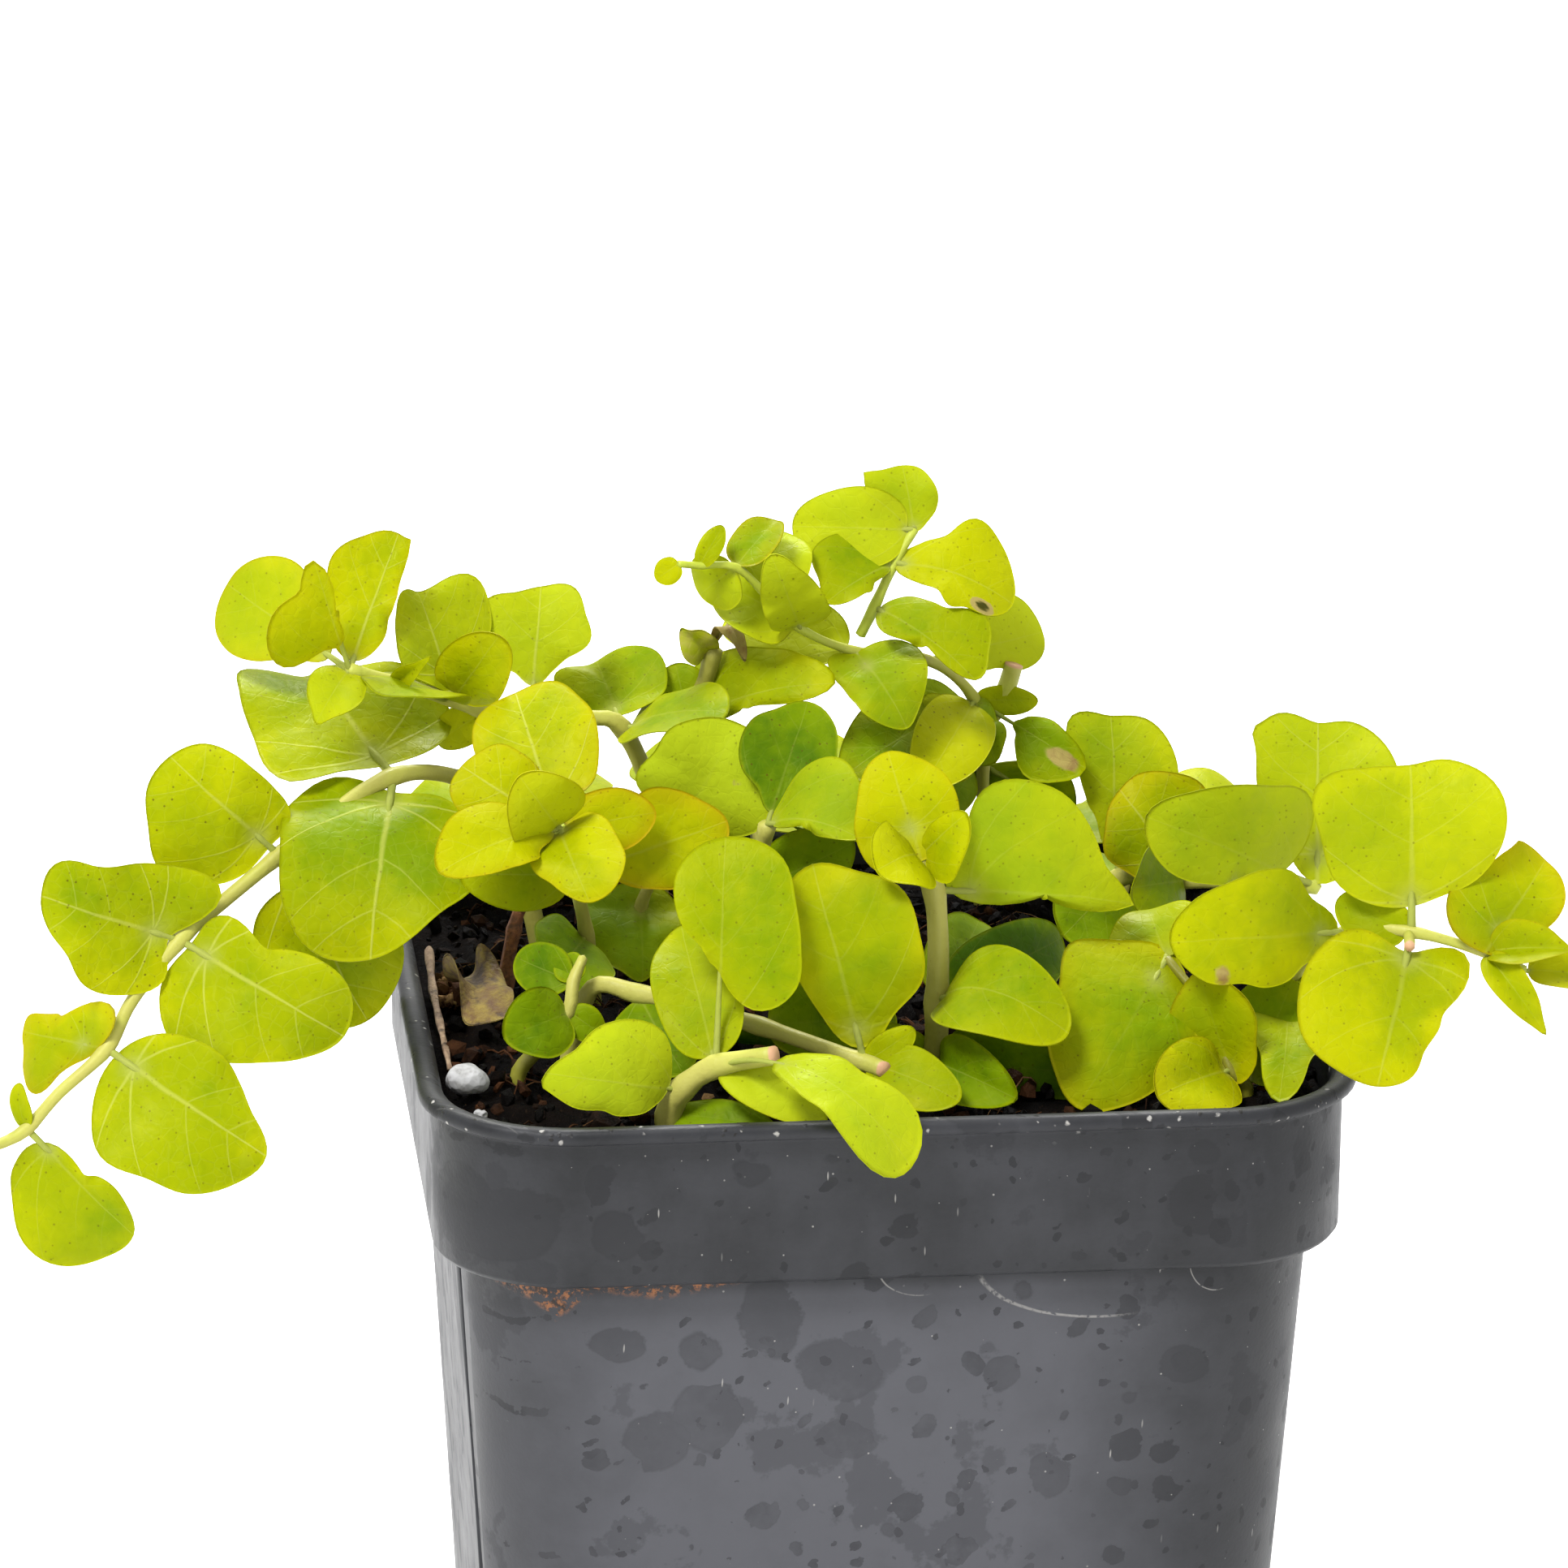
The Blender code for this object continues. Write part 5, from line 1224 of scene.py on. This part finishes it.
# %% Blade and petiole
def blade_part(spec, place, rings, spokes, rng):
    """Both sides of the blade, from the middle point out to a thin uneven margin.

    rise = width share^2.5 (cup + wave calm (sin(3 phi + c) + sin(5 phi + d) / 2)), where calm
    falls to 0 at the foot, so that blade and petiole meet
    """
    width = spec["width"]
    length = place[2] * (1 - spec["stalk"])
    phi = 2 * pi * np.arange(spokes) / spokes
    turns = rng.uniform(0, 2 * pi, 4)
    calm = 1 - np.exp(-((np.abs(wrapped(phi)) - pi) / 0.5) ** 2)
    uneven = calm * (0.020 * np.sin(2 * phi + turns[0]) + 0.014 * np.sin(5 * phi + turns[1]))
    if spec["margin"]:
        edge_x, edge_y = read_margin(spec, length, phi)
        uneven = 0.3 * uneven
    else:
        edge_x, edge_y = usual_margin(spec, phi)
    share = (1 - (1 - np.arange(1, rings + 1) / rings) ** 1.35)[:, None]
    ripple = np.sin(3 * phi + turns[2]) + 0.5 * np.sin(5 * phi + turns[3])
    x = share * edge_x * (1 + uneven)
    y = BLADE_MIDDLE + share * (edge_y - BLADE_MIDDLE) * (1 + uneven)
    rise = width * share**2.5 * (spec["cup"] + spec["wave"] * calm * ripple)
    rise = rise + 0.35 * width * np.maximum(0.0, -y)
    x, y, rise = (np.append(at_middle, grid) for at_middle, grid in
                  ((0.0, x), (BLADE_MIDDLE, y), (0.0, rise)))
    level = np.append(0.0, np.repeat(share, spokes))
    thick = BLADE_THICK - (BLADE_THICK - MARGIN_THICK) * level**5
    top, bottom = (bend(spec, place, x, y, rise + half) for half in (thick / 2, -thick / 2))
    reach = np.hypot(edge_x * width, (edge_y - BLADE_MIDDLE) * length)
    rim = (1 - level) * np.append(reach.mean(), np.tile(reach, rings))
    mark = np.exp(-((x * width) ** 2 + (y * length) ** 2) / (0.07 * width) ** 2)
    dead = np.full(len(x), spec["dead"])
    if spec["spot"]:
        spot_x, spot_y, wide, high, strength = spec["spot"]
        away = np.hypot((x - spot_x) * width / wide, (y - spot_y) * length / high)
        dead = np.maximum(dead, strength * np.clip(1.7 - away, 0, 1))
    count = len(x)
    last = count - spokes + np.arange(spokes)
    after = np.roll(last, -1)
    faces = np.array(ring_faces(rings, spokes, flip=True)) + 1
    faces = fan_faces(0, 1, spokes, flip=True) + faces.tolist()
    faces += [[i + count for i in face[::-1]] for face in faces]
    faces += np.stack([last, after, after + count, last + count], -1).tolist()
    twice = {"rim": rim, "stalk": 0.8 * mark, "dead": dead}
    return part_of(np.vstack([top, bottom]), faces, uv=np.tile(np.stack([x + 0.5, y], -1), (2, 1)),
                   **{key: np.tile(value, 2) for key, value in twice.items()},
                   **{key: spec[key] for key in ("tint", "warm", "dots", "veined", "fresh")})


def petiole_part(spec, place):
    """From the stem to the foot of the blade, and on below the blade as its midrib."""
    node, foot = place[:2]
    stalk = spec["stalk"]
    y = np.array([-stalk / (1 - stalk) * 0.5, *MIDRIB_PLACES])
    below = MIDRIB_DEPTHS + BLADE_THICK / 2 * (y > 0)
    under = bend(spec, place, np.zeros(len(y)), y, -below)
    start = [node, foot] if np.linalg.norm(foot - node) > 0.6 else [node]
    path = smooth_path(np.vstack([*start, under]), STEM_STEP)
    share = np.linspace(0, 1, len(path))
    radii = (0.20 + 0.012 * spec["width"]) * (1 - 0.72 * share**1.3)
    from_blade = np.linalg.norm(path - bend(spec, place, np.zeros(1), np.zeros(1)), axis=1)
    before = np.arange(len(path)) <= np.argmin(from_blade)
    return tube_part(path, radii, 8, ends=(0.3, 0.5), stalk=np.where(before, 1.0, 0.75),
                     rim=5.0, dead=spec["dead"], tint=spec["tint"])


def leaf_parts(spec, stem, own_node, rng):
    """The blade and the petiole of one leaf. A large leaf gets a finer blade."""
    place = leaf_frame(spec, stem, own_node)
    grid = FINE_GRID if spec["width"] > FINE_WIDTH else PLAIN_GRID
    return [blade_part(spec, place, *grid, rng), petiole_part(spec, place)]


# %% [markdown]
# ### The whole plant
#
# A leaf with a name becomes an object of its own, as it is in the solid model. The others go
# into one mesh with their stem, which keeps the objects few. All ripples are drawn from one
# seeded generator, so every run grows the same plant.

# %% Grow the plant
rng = np.random.default_rng(SEED)
for stem, group in LEAVES.items():
    parts = [stem_part(stem, sorted({spec["node"] for spec in group}))]
    if stem in STUBS:
        parts.append(stem_part(STUBS[stem], []))
    for spec in group:
        if not spec["name"]:
            parts += [{**part, "slot": 1} for part in leaf_parts(spec, stem, False, rng)]
    add_piece(stem + "_shoot", parts, ["stem", "leaf"], "stem", stem)
    for spec in group:
        if spec["name"]:
            blade = leaf_parts(spec, stem, True, rng)
            add_piece(spec["name"] + "_blade", blade, ["leaf"], "leaf", spec["name"])

# %% [markdown]
# ## Pot
#
# The pot is moulded in one piece: a tapering body with round corners, a deep collar and a thin
# rim. Boxes with bevels could make it, but with rings every step of the rim gets its own height.
# One closed shell goes through rings of rounded squares: up the outside, over the rim and down
# the inside. Cutters take out the four drain holes and the upright grooves in the side walls.

# %% Pot
CORNER_STEPS = 12
EDGE_STEPS = 6
DRAIN_RADIUS = 4.0
DRAIN_OFFSET = 21.0
DRAIN_SIDES = 48
GROOVE_DEPTH = 0.5
GROOVE_WIDTH = 1.6
GROOVE_OFFSETS = (-27.0, 27.0)
SHOULDER = POT_HEIGHT - COLLAR_DROP
GROOVE_ENDS = (6.0, SHOULDER - 3.0)
QUARTERS = ((1, 1), (-1, 1), (-1, -1), (1, -1))
BLOCK_FACES = [[3, 2, 1, 0], [4, 5, 6, 7], [0, 1, 5, 4], [1, 2, 6, 5], [2, 3, 7, 6],
               [3, 0, 4, 7]]


def rounded_ring(half, corner, height):
    """A square with round corners as points, half its width, at a height."""
    quarters = []
    for quarter, (sx, sy) in enumerate(QUARTERS):
        angle = (quarter + np.arange(CORNER_STEPS + 1) / CORNER_STEPS) * pi / 2
        quarters.append(np.stack([sx * (half - corner) + corner * np.cos(angle),
                                  sy * (half - corner) + corner * np.sin(angle)], -1))
    share = (np.arange(1, EDGE_STEPS) / EDGE_STEPS)[:, None]
    flat = np.vstack([points for here, there in zip(quarters, quarters[1:] + quarters[:1])
                      for points in (here, here[-1] + (there[0] - here[-1]) * share)])
    return np.column_stack([flat, np.full(len(flat), height)])


def body_half(height):
    """Half the width of the tapering body at a height."""
    return BODY_BASE_HALF + (BODY_TOP_HALF - BODY_BASE_HALF) * height / SHOULDER


def pot_rings():
    """Up the outside and down the inside: half width, corner radius and height of each ring."""
    top = POT_HEIGHT
    outside = [
        (34.3, 11.1, 0.0), (34.9, 11.7, 0.15), (35.2, 12.0, 0.7),
        *[(body_half(height), 12, height) for height in (12, 30, 50, 66)],
        (39.15, 12, SHOULDER - 0.9), (39.25, 12, SHOULDER - 0.45), (39.6, 12.1, SHOULDER - 0.25),
        (40.9, 12.4, SHOULDER - 0.1), (41.4, 12.4, SHOULDER + 0.1), (41.7, 12.5, SHOULDER + 0.6),
        (41.7, 12.5, SHOULDER + 7), (41.7, 12.5, top - 2.0), (41.75, 12.6, top - 1.7),
        (42.0, 12.9, top - 1.5), (42.6, 13.5, top - 1.4), (42.9, 13.8, top - 1.2),
        (43.0, 13.9, top - 0.8), (42.9, 13.8, top - 0.3), (42.6, 13.5, top)]
    inside = [
        (41.6, 12.5, top), (41.2, 12.1, top - 0.15), (40.75, 11.7, top - 0.5),
        (40.6, 11.4, top - 1.2), (40.6, 11.4, SHOULDER + 0.4), (40.4, 11.3, SHOULDER - 0.2),
        (38.4, 11.0, SHOULDER - 1.2), (38.1, 10.9, SHOULDER - 1.8), (body_half(40) - WALL, 10.9, 40),
        (body_half(2.4) - WALL, 10.9, 2.4), (body_half(2) - WALL - 0.6, 10.4, FLOOR_THICK)]
    return [rounded_ring(*ring) for ring in outside + inside]


# %% Drain holes and grooves
def cut_out(piece, cutters):
    """Take the cutters out of a piece for good and delete them."""
    for number, cutter in enumerate(cutters):
        modifier = piece.modifiers.new(f"cut_{number}", "BOOLEAN")
        modifier.operation = "DIFFERENCE"
        modifier.object = cutter
        modifier.solver = "EXACT"
    graph = bpy.context.evaluated_depsgraph_get()
    mesh = bpy.data.meshes.new_from_object(piece.evaluated_get(graph))
    mesh.name = piece.name
    piece.modifiers.clear()
    piece.data = mesh
    for cutter in cutters:
        bpy.data.objects.remove(cutter, do_unlink=True)


def drain_plug(sx, sy):
    """An upright cylinder through the floor of the pot."""
    axis = [(sx * DRAIN_OFFSET, sy * DRAIN_OFFSET, z) for z in (-3, 6)]
    return tube_part(axis, DRAIN_RADIUS, DRAIN_SIDES, ends=(0.0, 0.0))


def groove_block(side, offset):
    """A thin upright block that leans with the wall and reaches GROOVE_DEPTH into it."""
    half = GROOVE_WIDTH / 2
    corners = np.array([(x, offset + y, z) for z in GROOVE_ENDS
                        for x, y in ((-1, -half), (1, -half), (1, half), (-1, half))])
    corners[:, 0] += side * (body_half(corners[:, 2]) + 1.0 - GROOVE_DEPTH)
    return part_of(corners, BLOCK_FACES)


pot = add_piece("nursery_pot", [closed_part(pot_rings(), (0, 0, 0), (0, 0, FLOOR_THICK))],
                ["pot"], "pot", "pot")
cutter_parts = [drain_plug(sx, sy) for sx, sy in QUARTERS]
cutter_parts += [groove_block(side, offset) for side in (-1, 1) for offset in GROOVE_OFFSETS]
cut_out(pot, [add_piece(f"cutter_{n}", [part], []) for n, part in enumerate(cutter_parts)])
print("pot faces", len(pot.data.polygons))

# %% [markdown]
# ## Soil and what lies on it
#
# The soil is a low mound, rumpled and strewn with bark crumbs and fibres. On it lie perlite, a
# dead twig, a straw and a withered leaf. A displaced plane could make it too, but a sum of waves
# gives the height at any place, so that all that lies on the soil can be set on it.

# %% Soil
SOIL_CORNER = 11.1
SOIL_RINGS = 60
RUMPLE_WAVES = 40
soil_rng = np.random.default_rng(SEED + 1)
wave_turn = soil_rng.uniform(0, 2 * pi, RUMPLE_WAVES)
wave_phase = soil_rng.uniform(0, 2 * pi, RUMPLE_WAVES)
wave_number = soil_rng.uniform(0.5, 3.2, RUMPLE_WAVES)


def rumple(x, y):
    """Uneven height in millimetres: waves of many directions, the short ones lower."""
    along = x[..., None] * np.cos(wave_turn) + y[..., None] * np.sin(wave_turn)
    return (0.16 / wave_number * np.sin(along * wave_number + wave_phase)).sum(axis=-1)


def soil_surface(x, y):
    """Height of the finished soil above the floor."""
    return POT_HEIGHT + soil_height(x, y) + rumple(x, y)


def soil_rings():
    """Three rings inside the pot, then rings that draw in across the surface."""
    top_half = COLLAR_HALF - WALL - GAP
    rings = [rounded_ring(body_half(FLOOR_THICK) - WALL - GAP, 10.6, FLOOR_THICK + GAP),
             rounded_ring(BODY_TOP_HALF - WALL - GAP, 10.6, SHOULDER - 1.3),
             rounded_ring(top_half, SOIL_CORNER, SHOULDER + 0.6)]
    outline = rounded_ring(top_half, SOIL_CORNER, 0.0)
    for share in np.linspace(1.0, 0.03, SOIL_RINGS):
        x, y = outline[:, 0] * share, outline[:, 1] * share
        rings.append(np.column_stack([x, y, soil_surface(x, y)]))
    return rings


middle = (0, 0, float(soil_surface(np.zeros(1), np.zeros(1))[0]))
soil = add_piece("potting_soil", [closed_part(soil_rings(), (0, 0, FLOOR_THICK + GAP), middle)],
                 ["soil"], "soil", "soil")
print("soil faces", len(soil.data.polygons))

# %% [markdown]
# ### Crumbs and fibres
#
# Bark and peat break into small angular bits. Thousands of objects would be slow, so all crumbs
# are one mesh: a chunk with twenty faces, stretched, roughened and turned at random. Flat
# shading keeps its edges sharp. The fibres are thin tubes, bowed a little.

# %% Crumbs
CRUMBS = 2600
FIBRES = 200
SOIL_REACH = 39.4
FIBRE_REACH = 37.0
FIBRE_LIMIT = 39.8
SCATTER_CORNER = 9.0
# The heap beside the straw: its middle and its spread
BROWN_HEAP = (-37.8, 2.0, 2.4)
HEAPED = 110
GOLDEN = (1 + 5**0.5) / 2
CHUNK = np.array([(-1, GOLDEN, 0), (1, GOLDEN, 0), (-1, -GOLDEN, 0), (1, -GOLDEN, 0),
                  (0, -1, GOLDEN), (0, 1, GOLDEN), (0, -1, -GOLDEN), (0, 1, -GOLDEN),
                  (GOLDEN, 0, -1), (GOLDEN, 0, 1), (-GOLDEN, 0, -1), (-GOLDEN, 0, 1)]) / 1.9
CHUNK_FACES = np.array([
    (0, 11, 5), (0, 5, 1), (0, 1, 7), (0, 7, 10), (0, 10, 11), (1, 5, 9), (5, 11, 4),
    (11, 10, 2), (10, 7, 6), (7, 1, 8), (3, 9, 4), (3, 4, 2), (3, 2, 6), (3, 6, 8), (3, 8, 9),
    (4, 9, 5), (2, 4, 11), (6, 2, 10), (8, 6, 7), (9, 8, 1)])


def scatter(count, half):
    """Places on the soil inside the pot's round corners."""
    spots = soil_rng.uniform(-half, half, (count, 2))
    over = np.maximum(np.abs(spots) - (half - SCATTER_CORNER), 0)
    return spots[np.hypot(over[:, 0], over[:, 1]) < SCATTER_CORNER]


def turned_frames(count):
    """Random rotations, from random quaternions."""
    quaternions = soil_rng.normal(size=(4, count))
    w, x, y, z = quaternions / np.linalg.norm(quaternions, axis=0)
    rows = [1 - 2 * (y * y + z * z), 2 * (x * y - z * w), 2 * (x * z + y * w),
            2 * (x * y + z * w), 1 - 2 * (x * x + z * z), 2 * (y * z - x * w),
            2 * (x * z - y * w), 2 * (y * z + x * w), 1 - 2 * (x * x + y * y)]
    return np.stack(rows, -1).reshape(count, 3, 3)


def crumb_part():
    """Irregular chunks of bark and peat, all in one set of arrays, and a small brown heap."""
    heap = soil_rng.normal(0, BROWN_HEAP[2] / 2, (HEAPED, 2)) * (0.7, 1.5) + BROWN_HEAP[:2]
    heap[:, 0] = np.maximum(heap[:, 0], -SOIL_REACH)
    spots = np.vstack([scatter(CRUMBS, SOIL_REACH), heap])
    count = len(spots)
    size = np.minimum(0.28 + 0.5 * soil_rng.gamma(1.3, 0.55, count), 2.0)
    size[-HEAPED:] *= 0.8
    shape = soil_rng.uniform(0.45, 1.3, (count, 1, 3)) * size[:, None, None]
    rough = soil_rng.uniform(0.72, 1.2, (count, len(CHUNK), 1))
    chunks = np.einsum("nij,nkj->nki", turned_frames(count), CHUNK[None] * rough * shape)
    height = soil_surface(spots[:, 0], spots[:, 1]) + 0.15 * size
    height[-HEAPED:] += soil_rng.uniform(0, 1.3, HEAPED)
    points = (chunks + np.column_stack([spots, height])[:, None]).reshape(-1, 3)
    starts = len(CHUNK) * np.arange(count)[:, None, None]
    faces = (CHUNK_FACES[None] + starts).reshape(-1, 3).tolist()
    tint = np.clip(soil_rng.normal(0.16, 0.18, count), 0, 1)
    tint[soil_rng.uniform(size=count) < 0.03] = 0.85
    tint[-HEAPED:] = soil_rng.uniform(0.45, 0.95, HEAPED)
    return part_of(points, faces, tint=np.repeat(tint, len(CHUNK)))


# %% Fibres
def fibre_parts():
    """Thin bent fibres that lie on the soil."""
    parts = []
    for x, y in scatter(FIBRES, FIBRE_REACH):
        turn = soil_rng.uniform(0, 2 * pi)
        length = soil_rng.uniform(2.0, 8.0)
        share = np.linspace(-0.5, 0.5, 6)
        bow = soil_rng.normal(0, 0.2) * length * (share**2 - 0.1)
        px = x + np.cos(turn) * share * length - np.sin(turn) * bow
        py = y + np.sin(turn) * share * length + np.cos(turn) * bow
        px, py = (np.clip(value, -FIBRE_LIMIT, FIBRE_LIMIT) for value in (px, py))
        pz = soil_surface(px, py) + 0.3 + soil_rng.uniform(0, 0.7) * (0.25 - share**2) * 4
        thick = soil_rng.uniform(0.04, 0.11)
        parts.append(tube_part(np.column_stack([px, py, pz]), thick, 5,
                               tint=float(soil_rng.uniform(0.2, 0.8))))
    return parts


crumbs = add_piece("bark_crumbs", [crumb_part()], ["crumb"], "soil", smooth=False)
fibres = add_piece("soil_fibres", fibre_parts(), ["crumb"], "soil")
print("crumb faces", len(crumbs.data.polygons), "fibre faces", len(fibres.data.polygons))

# %% [markdown]
# ### Perlite and litter
#
# Perlite is stone that has popped in the heat, so its lumps are balls that waves push in and
# out. The dead twig and the straw are rough tubes, and the withered leaf is a blade with deep
# waves and a strong twist.

# %% Perlite
PERLITE_BITS = ((-37.2, -28.5, 0.6), (-30, -33.5, 0.35), (-20, -20, 0.5), (8, -6, 0.3),
                (30, 8, 0.6), (-5, 20, 0.7), (12, 30, 0.5), (-31, 33, 0.8), (26, -10, 0.45))
LUMP_GRID = (20, 32)
LUMP_WAVES = 14
WITHERED_GRID = (14, 72)


def lump_part(centre, radius, squash, seed):
    """A pebble of rings of latitude, pushed in and out by waves of many directions."""
    lump_rng = np.random.default_rng(seed)
    rows, spokes = LUMP_GRID
    polar = np.linspace(0, pi, rows + 2)[1:-1]
    around = 2 * pi * np.arange(spokes) / spokes
    unit = np.stack([np.sin(polar)[:, None] * np.cos(around), np.sin(polar)[:, None]
                     * np.sin(around), np.repeat(-np.cos(polar)[:, None], spokes, 1)], -1)
    unit = np.vstack([unit.reshape(-1, 3), (0, 0, -1), (0, 0, 1)])
    waves = lump_rng.normal(0, 1.0, (LUMP_WAVES, 3)) * lump_rng.uniform(1.0, 4.0, (LUMP_WAVES, 1))
    shifts = lump_rng.uniform(0, 6, LUMP_WAVES)
    swell = 1 + 0.045 * np.sin(unit @ waves.T + shifts).sum(axis=1)
    points = unit * swell[:, None] * radius * (1, 1, squash) + centre
    rings = points[:-2].reshape(rows, spokes, 3)
    return closed_part(rings, points[-2], points[-1])


add_piece("perlite_large", [lump_part((-38.3, -24, POT_HEIGHT - 1.6), 1.9, 0.85, 11)],
          ["perlite"], "perlite", "perlite_1")
add_piece("perlite_back", [lump_part((20, 33, POT_HEIGHT - 1.9), 1.6, 0.8, 12)],
          ["perlite"], "perlite", "perlite_2")
bits = np.array(PERLITE_BITS)
bit_heights = soil_surface(bits[:, 0], bits[:, 1]) + 0.3 * bits[:, 2]
add_piece("perlite_bits", [lump_part((x, y, z), radius, 0.8, 20 + n) for n, ((x, y, radius), z)
                           in enumerate(zip(PERLITE_BITS, bit_heights))],
          ["perlite"], "perlite")

# %% Twig, straw and withered leaf
TWIG = ((-32.5, 2, -3.6), (-32.5, 2.5, -1), (-31.8, 3, 3), (-31, 3.5, 5.5), (-29.5, 3, 6.8))
STRAW = ((-39.4, 8, 0), (-39.5, 0, -1.5), (-39.3, -8, -2.6), (-39.2, -17, -2.9))
# Swellings of the twig: where, how long and how much
KNOTS = ((0.22, 0.07, 0.22), (0.62, 0.05, 0.16))


def litter_path(points, step):
    """A smooth path through points whose heights are given from the rim."""
    return smooth_path(np.array(points, float) + (0, 0, POT_HEIGHT), step)


twig = litter_path(TWIG, 0.4)
share = np.linspace(0, 1, len(twig))
twig_radii = 0.72 - 0.2 * share
for knot, wide, swell in KNOTS:
    twig_radii += swell * np.exp(-((share - knot) / wide) ** 2)
bark = tube_part(twig, twig_radii, 16, rough=0.10, ridges=5, spin=0.08, ends=(0.2, 0.1))
add_piece("dead_twig_bark", [bark], ["twig"], "dry_litter", "dead_twig")
straw = litter_path(STRAW, 0.5)
straw_radii = np.linspace(0.42, 0.26, len(straw)) * (1 + 0.15 * np.sin(np.arange(len(straw)) / 2))
add_piece("straw_stalk", [tube_part(straw, straw_radii, 12, rough=0.14, spin=0.1)],
          ["straw"], "dry_litter", "straw")

STEMS["fallen"] = (0.5, 0.5, 1.0, 1.0, [(-36.2, 0.5, -0.8), (0, 0, 0)])
withered = leaf(0, (-35.4, -12.5, -1.2), 6.5, UP, arch=0.15, fold=0.5, wave=0.22, twist=1.1,
                cup=0.05, stalk=0.12)
place = leaf_frame(withered, "fallen", False)
add_piece("withered_blade", [blade_part(withered, place, *WITHERED_GRID, rng),
                             petiole_part(withered, place)],
          ["withered"], "dry_litter", "withered_leaf")

# %% [markdown]
# ## Floor, light and finish
#
# The plant stands on plain white in soft light. A sky or a room would colour it, so a white
# floor lies in a white surrounding. One large soft light comes from the upper left, a weaker one
# from the right, and one from behind that shines through the leaves.

# %% Floor
FLOOR_HALF_M = 3.0
FLOOR_GREYS = ((0.93, 0.93, 0.93), (0.95, 0.95, 0.95))


def floor_material():
    """White, faintly clouded."""
    shader = Shader("floor")
    colour = shader.mix(shader.noise(6.0, 2.0), *FLOOR_GREYS)
    return shader.finish(shader.principled(colour, 0.9))


floor_mesh = bpy.data.meshes.new("floor")
floor_mesh.from_pydata([(sx * FLOOR_HALF_M, sy * FLOOR_HALF_M, 0) for sx, sy in QUARTERS], [],
                       [(0, 1, 2, 3)])
floor_mesh.materials.append(floor_material())
floor = place_object("floor", floor_mesh, np.eye(3), (0, 0, 0))

# %% Surrounding and lights
SURROUND = 1.03
LIT_POINT_M = (0.0, 0.0, 0.09)
# Of each light: its place and size in metres and its power in watts
LIGHTS = {
    "key": ((-0.42, -0.45, 0.92), 0.3, 13.5),
    "fill": ((0.7, -0.5, 0.45), 0.8, 0.7),
    "through": ((0.05, 0.62, 0.85), 0.3, 11.0),
}
world = bpy.data.worlds.new("surround")
world.use_nodes = True
world.node_tree.nodes["Background"].inputs["Color"].default_value = (1.0, 1.0, 1.0, 1.0)
world.node_tree.nodes["Background"].inputs["Strength"].default_value = SURROUND
bpy.context.scene.world = world
bpy.context.scene.view_settings.view_transform = "Standard"
for name, (place_m, size_m, power) in LIGHTS.items():
    lamp = bpy.data.lights.new(name, "AREA")
    lamp.shape = "DISK"
    lamp.size = size_m
    lamp.energy = power
    place_object(name, lamp, upright_axes(np.subtract(place_m, LIT_POINT_M)), place_m)
print("lights", sorted(LIGHTS))
